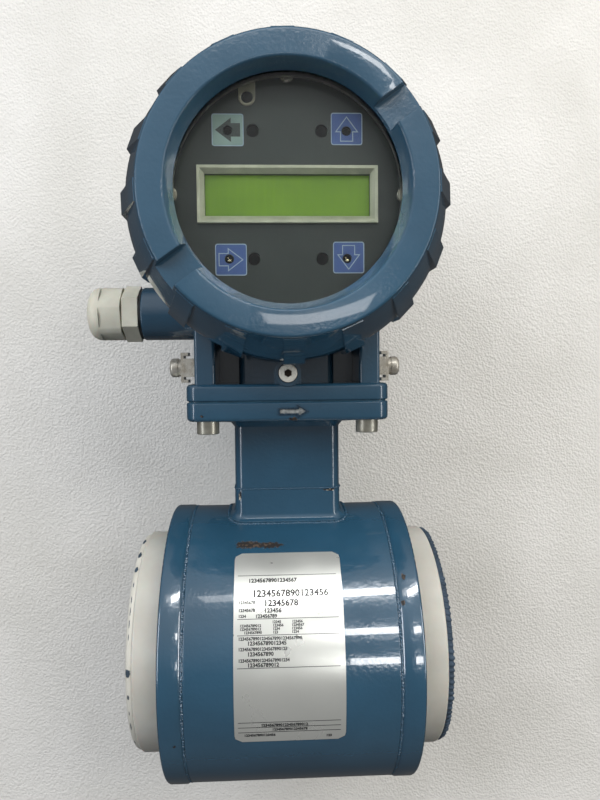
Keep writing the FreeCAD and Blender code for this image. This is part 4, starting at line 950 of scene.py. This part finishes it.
# Threads, in mm: a ridge's radius on the screw's core, its pitch, and where along the
# axis it starts and ends. The steps are those of one turn.
threads = {
    "frontThread": {"axis": (0, -1, 0), "radius": 54.3, "pitch": 1.9, "start": 54.5,
                    "end": 71.6, "steps": 72},
    "rearThread": {"axis": (0, 1, 0), "radius": 54.3, "pitch": 1.9, "start": 60.0,
                   "end": 74.1, "steps": 72},
    "glandThread": {"axis": (-1, 0, 0), "radius": 9.2, "pitch": 1.5, "start": 80.2,
                    "end": 89.4, "steps": 48},
}
ridge = {"height": 0.22, "root": -0.12, "half": 0.42, "runOut": 1 / 6}   # half: of a pitch
bareMetal = makeMaterial("greased bare metal", turnedRecipe(
    "#8C8A82", "#6E6C66", (0.3, 0.45), 0.5, 1))


def screwThread(name, origin, material):
    # a ridge with a triangular section that winds round an axis; both ends run out
    thread = threads[name]
    radius, pitch, steps = thread["radius"], thread["pitch"], thread["steps"]
    along = Vector(thread["axis"])
    side = along.orthogonal().normalized()
    up = along.cross(side)
    count = int(steps * ((thread["end"] - thread["start"]) / pitch))
    runOut = steps * ridge["runOut"]
    half, root = ridge["half"] * pitch, ridge["root"]
    points, faces = [], []
    for step in range(count + 1):
        angle = 2 * math.pi * step / steps
        fade = min(1.0, step / runOut, (count - step) / runOut)
        middle = thread["start"] + pitch * step / steps
        ray = side * math.cos(angle) + up * math.sin(angle)
        for shift, high in ((-half, root), (0.0, ridge["height"] * fade), (half, root)):
            points.append(Vector(origin) + along * (middle + shift) + ray * (radius + high))
    for a in range(0, 3 * count, 3):
        b = a + 3
        faces += [(a, a + 1, b + 1, b), (a + 1, a + 2, b + 2, b + 1), (a + 2, a, b, b + 2)]
    faces += [(0, 2, 1), (3 * count, 3 * count + 1, 3 * count + 2)]
    fromSolid(name, points, faces, "meter", material, 20)


def middleOf(node):
    # the middle of a node's box at rest, in mm
    return [(low + high) / 2 / mm for low, high in zip(*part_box(node))]


for name in ("frontThread", "rearThread"):
    screwThread(name, (0.0, 0.0, headZ / mm), bareMetal)
screwThread("glandThread", (0.0, 0.0, middleOf("gland_nut")[2]),
            slotFinishes["gland_plastic"])

# Painted shade in the screws' hollows, in mm from the head's face: dark brown like grime down
# in
# the sockets of the locking screws, and a dark cross for the crossed slots in the earthing
# screws:
# the flats, the slot's half length and half width, low and high.
recesses = {"flats": 3.0, "paintedSocketShade": (-2.4, -1.5), "long": 2.1, "thin": 0.45,
            "slot": (-0.3, 0.03)}
# dark brown painted shade for the depth of the sockets, tinted like dirt
paintedSocketShade = makeMaterial("painted socket shade, brown like dirt", plainRecipe(
    "#35281C", "#22190F", 2, (0.5, 0.7), 0.5, 0.05))
# near-black painted shade for the slots of the earthing screws
shadow = makeMaterial("painted slot shade", plainRecipe(
    "#23211F", "#2E2B28", 2, (0.4, 0.6), 0.4, 0.02))


def socketShade(side, sign):
    # the locking screws lie along Y; sign is the way that the head faces
    node = f"{side}_jam_screw"
    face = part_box(node)[sign > 0][1] / mm
    middle = middleOf(node)[2]
    tip = recesses["flats"] / math.sqrt(3)
    turns = [math.pi * step / 3 for step in range(5, -1, -1)]
    # a dark brown hexagon down in the socket is its painted shade
    prism(f"{side}SocketGrime", [[(tip * math.sin(t), tip * math.cos(t)) for t in turns]],
          *recesses["paintedSocketShade"], lambda x, y, height: (x, face + sign * height, middle + y),
          node, paintedSocketShade, "bright_steel")


def crossSlotShade(side, sign):
    # the earthing screws lie along X; a near-black cross on the head's face is the painted
    # shade of its slot
    node = f"{side}_earth_screw"
    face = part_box(node)[sign > 0][0] / mm
    _, y, z = middleOf(node)
    long, thin = recesses["long"], recesses["thin"]
    cross = [(long, -thin), (long, thin), (thin, thin), (thin, long), (-thin, long),
             (-thin, thin), (-long, thin), (-long, -thin), (-thin, -thin), (-thin, -long),
             (thin, -long), (thin, -thin)]
    prism(f"{side}CrossSlot", [cross], *recesses["slot"],
          lambda a, b, height: (face + sign * height, y + a, z + b),
          node, shadow, "bright_steel")


for side, sign in (("front", -1), ("rear", 1)):
    socketShade(side, sign)
for side, sign in (("left", -1), ("right", 1)):
    crossSlotShade(side, sign)
print("welds, threads and screw recesses are made")

for does, (_, names) in litAlone.items():
    for name in names:
        receivers[does].objects.link(bpy.data.objects[name])
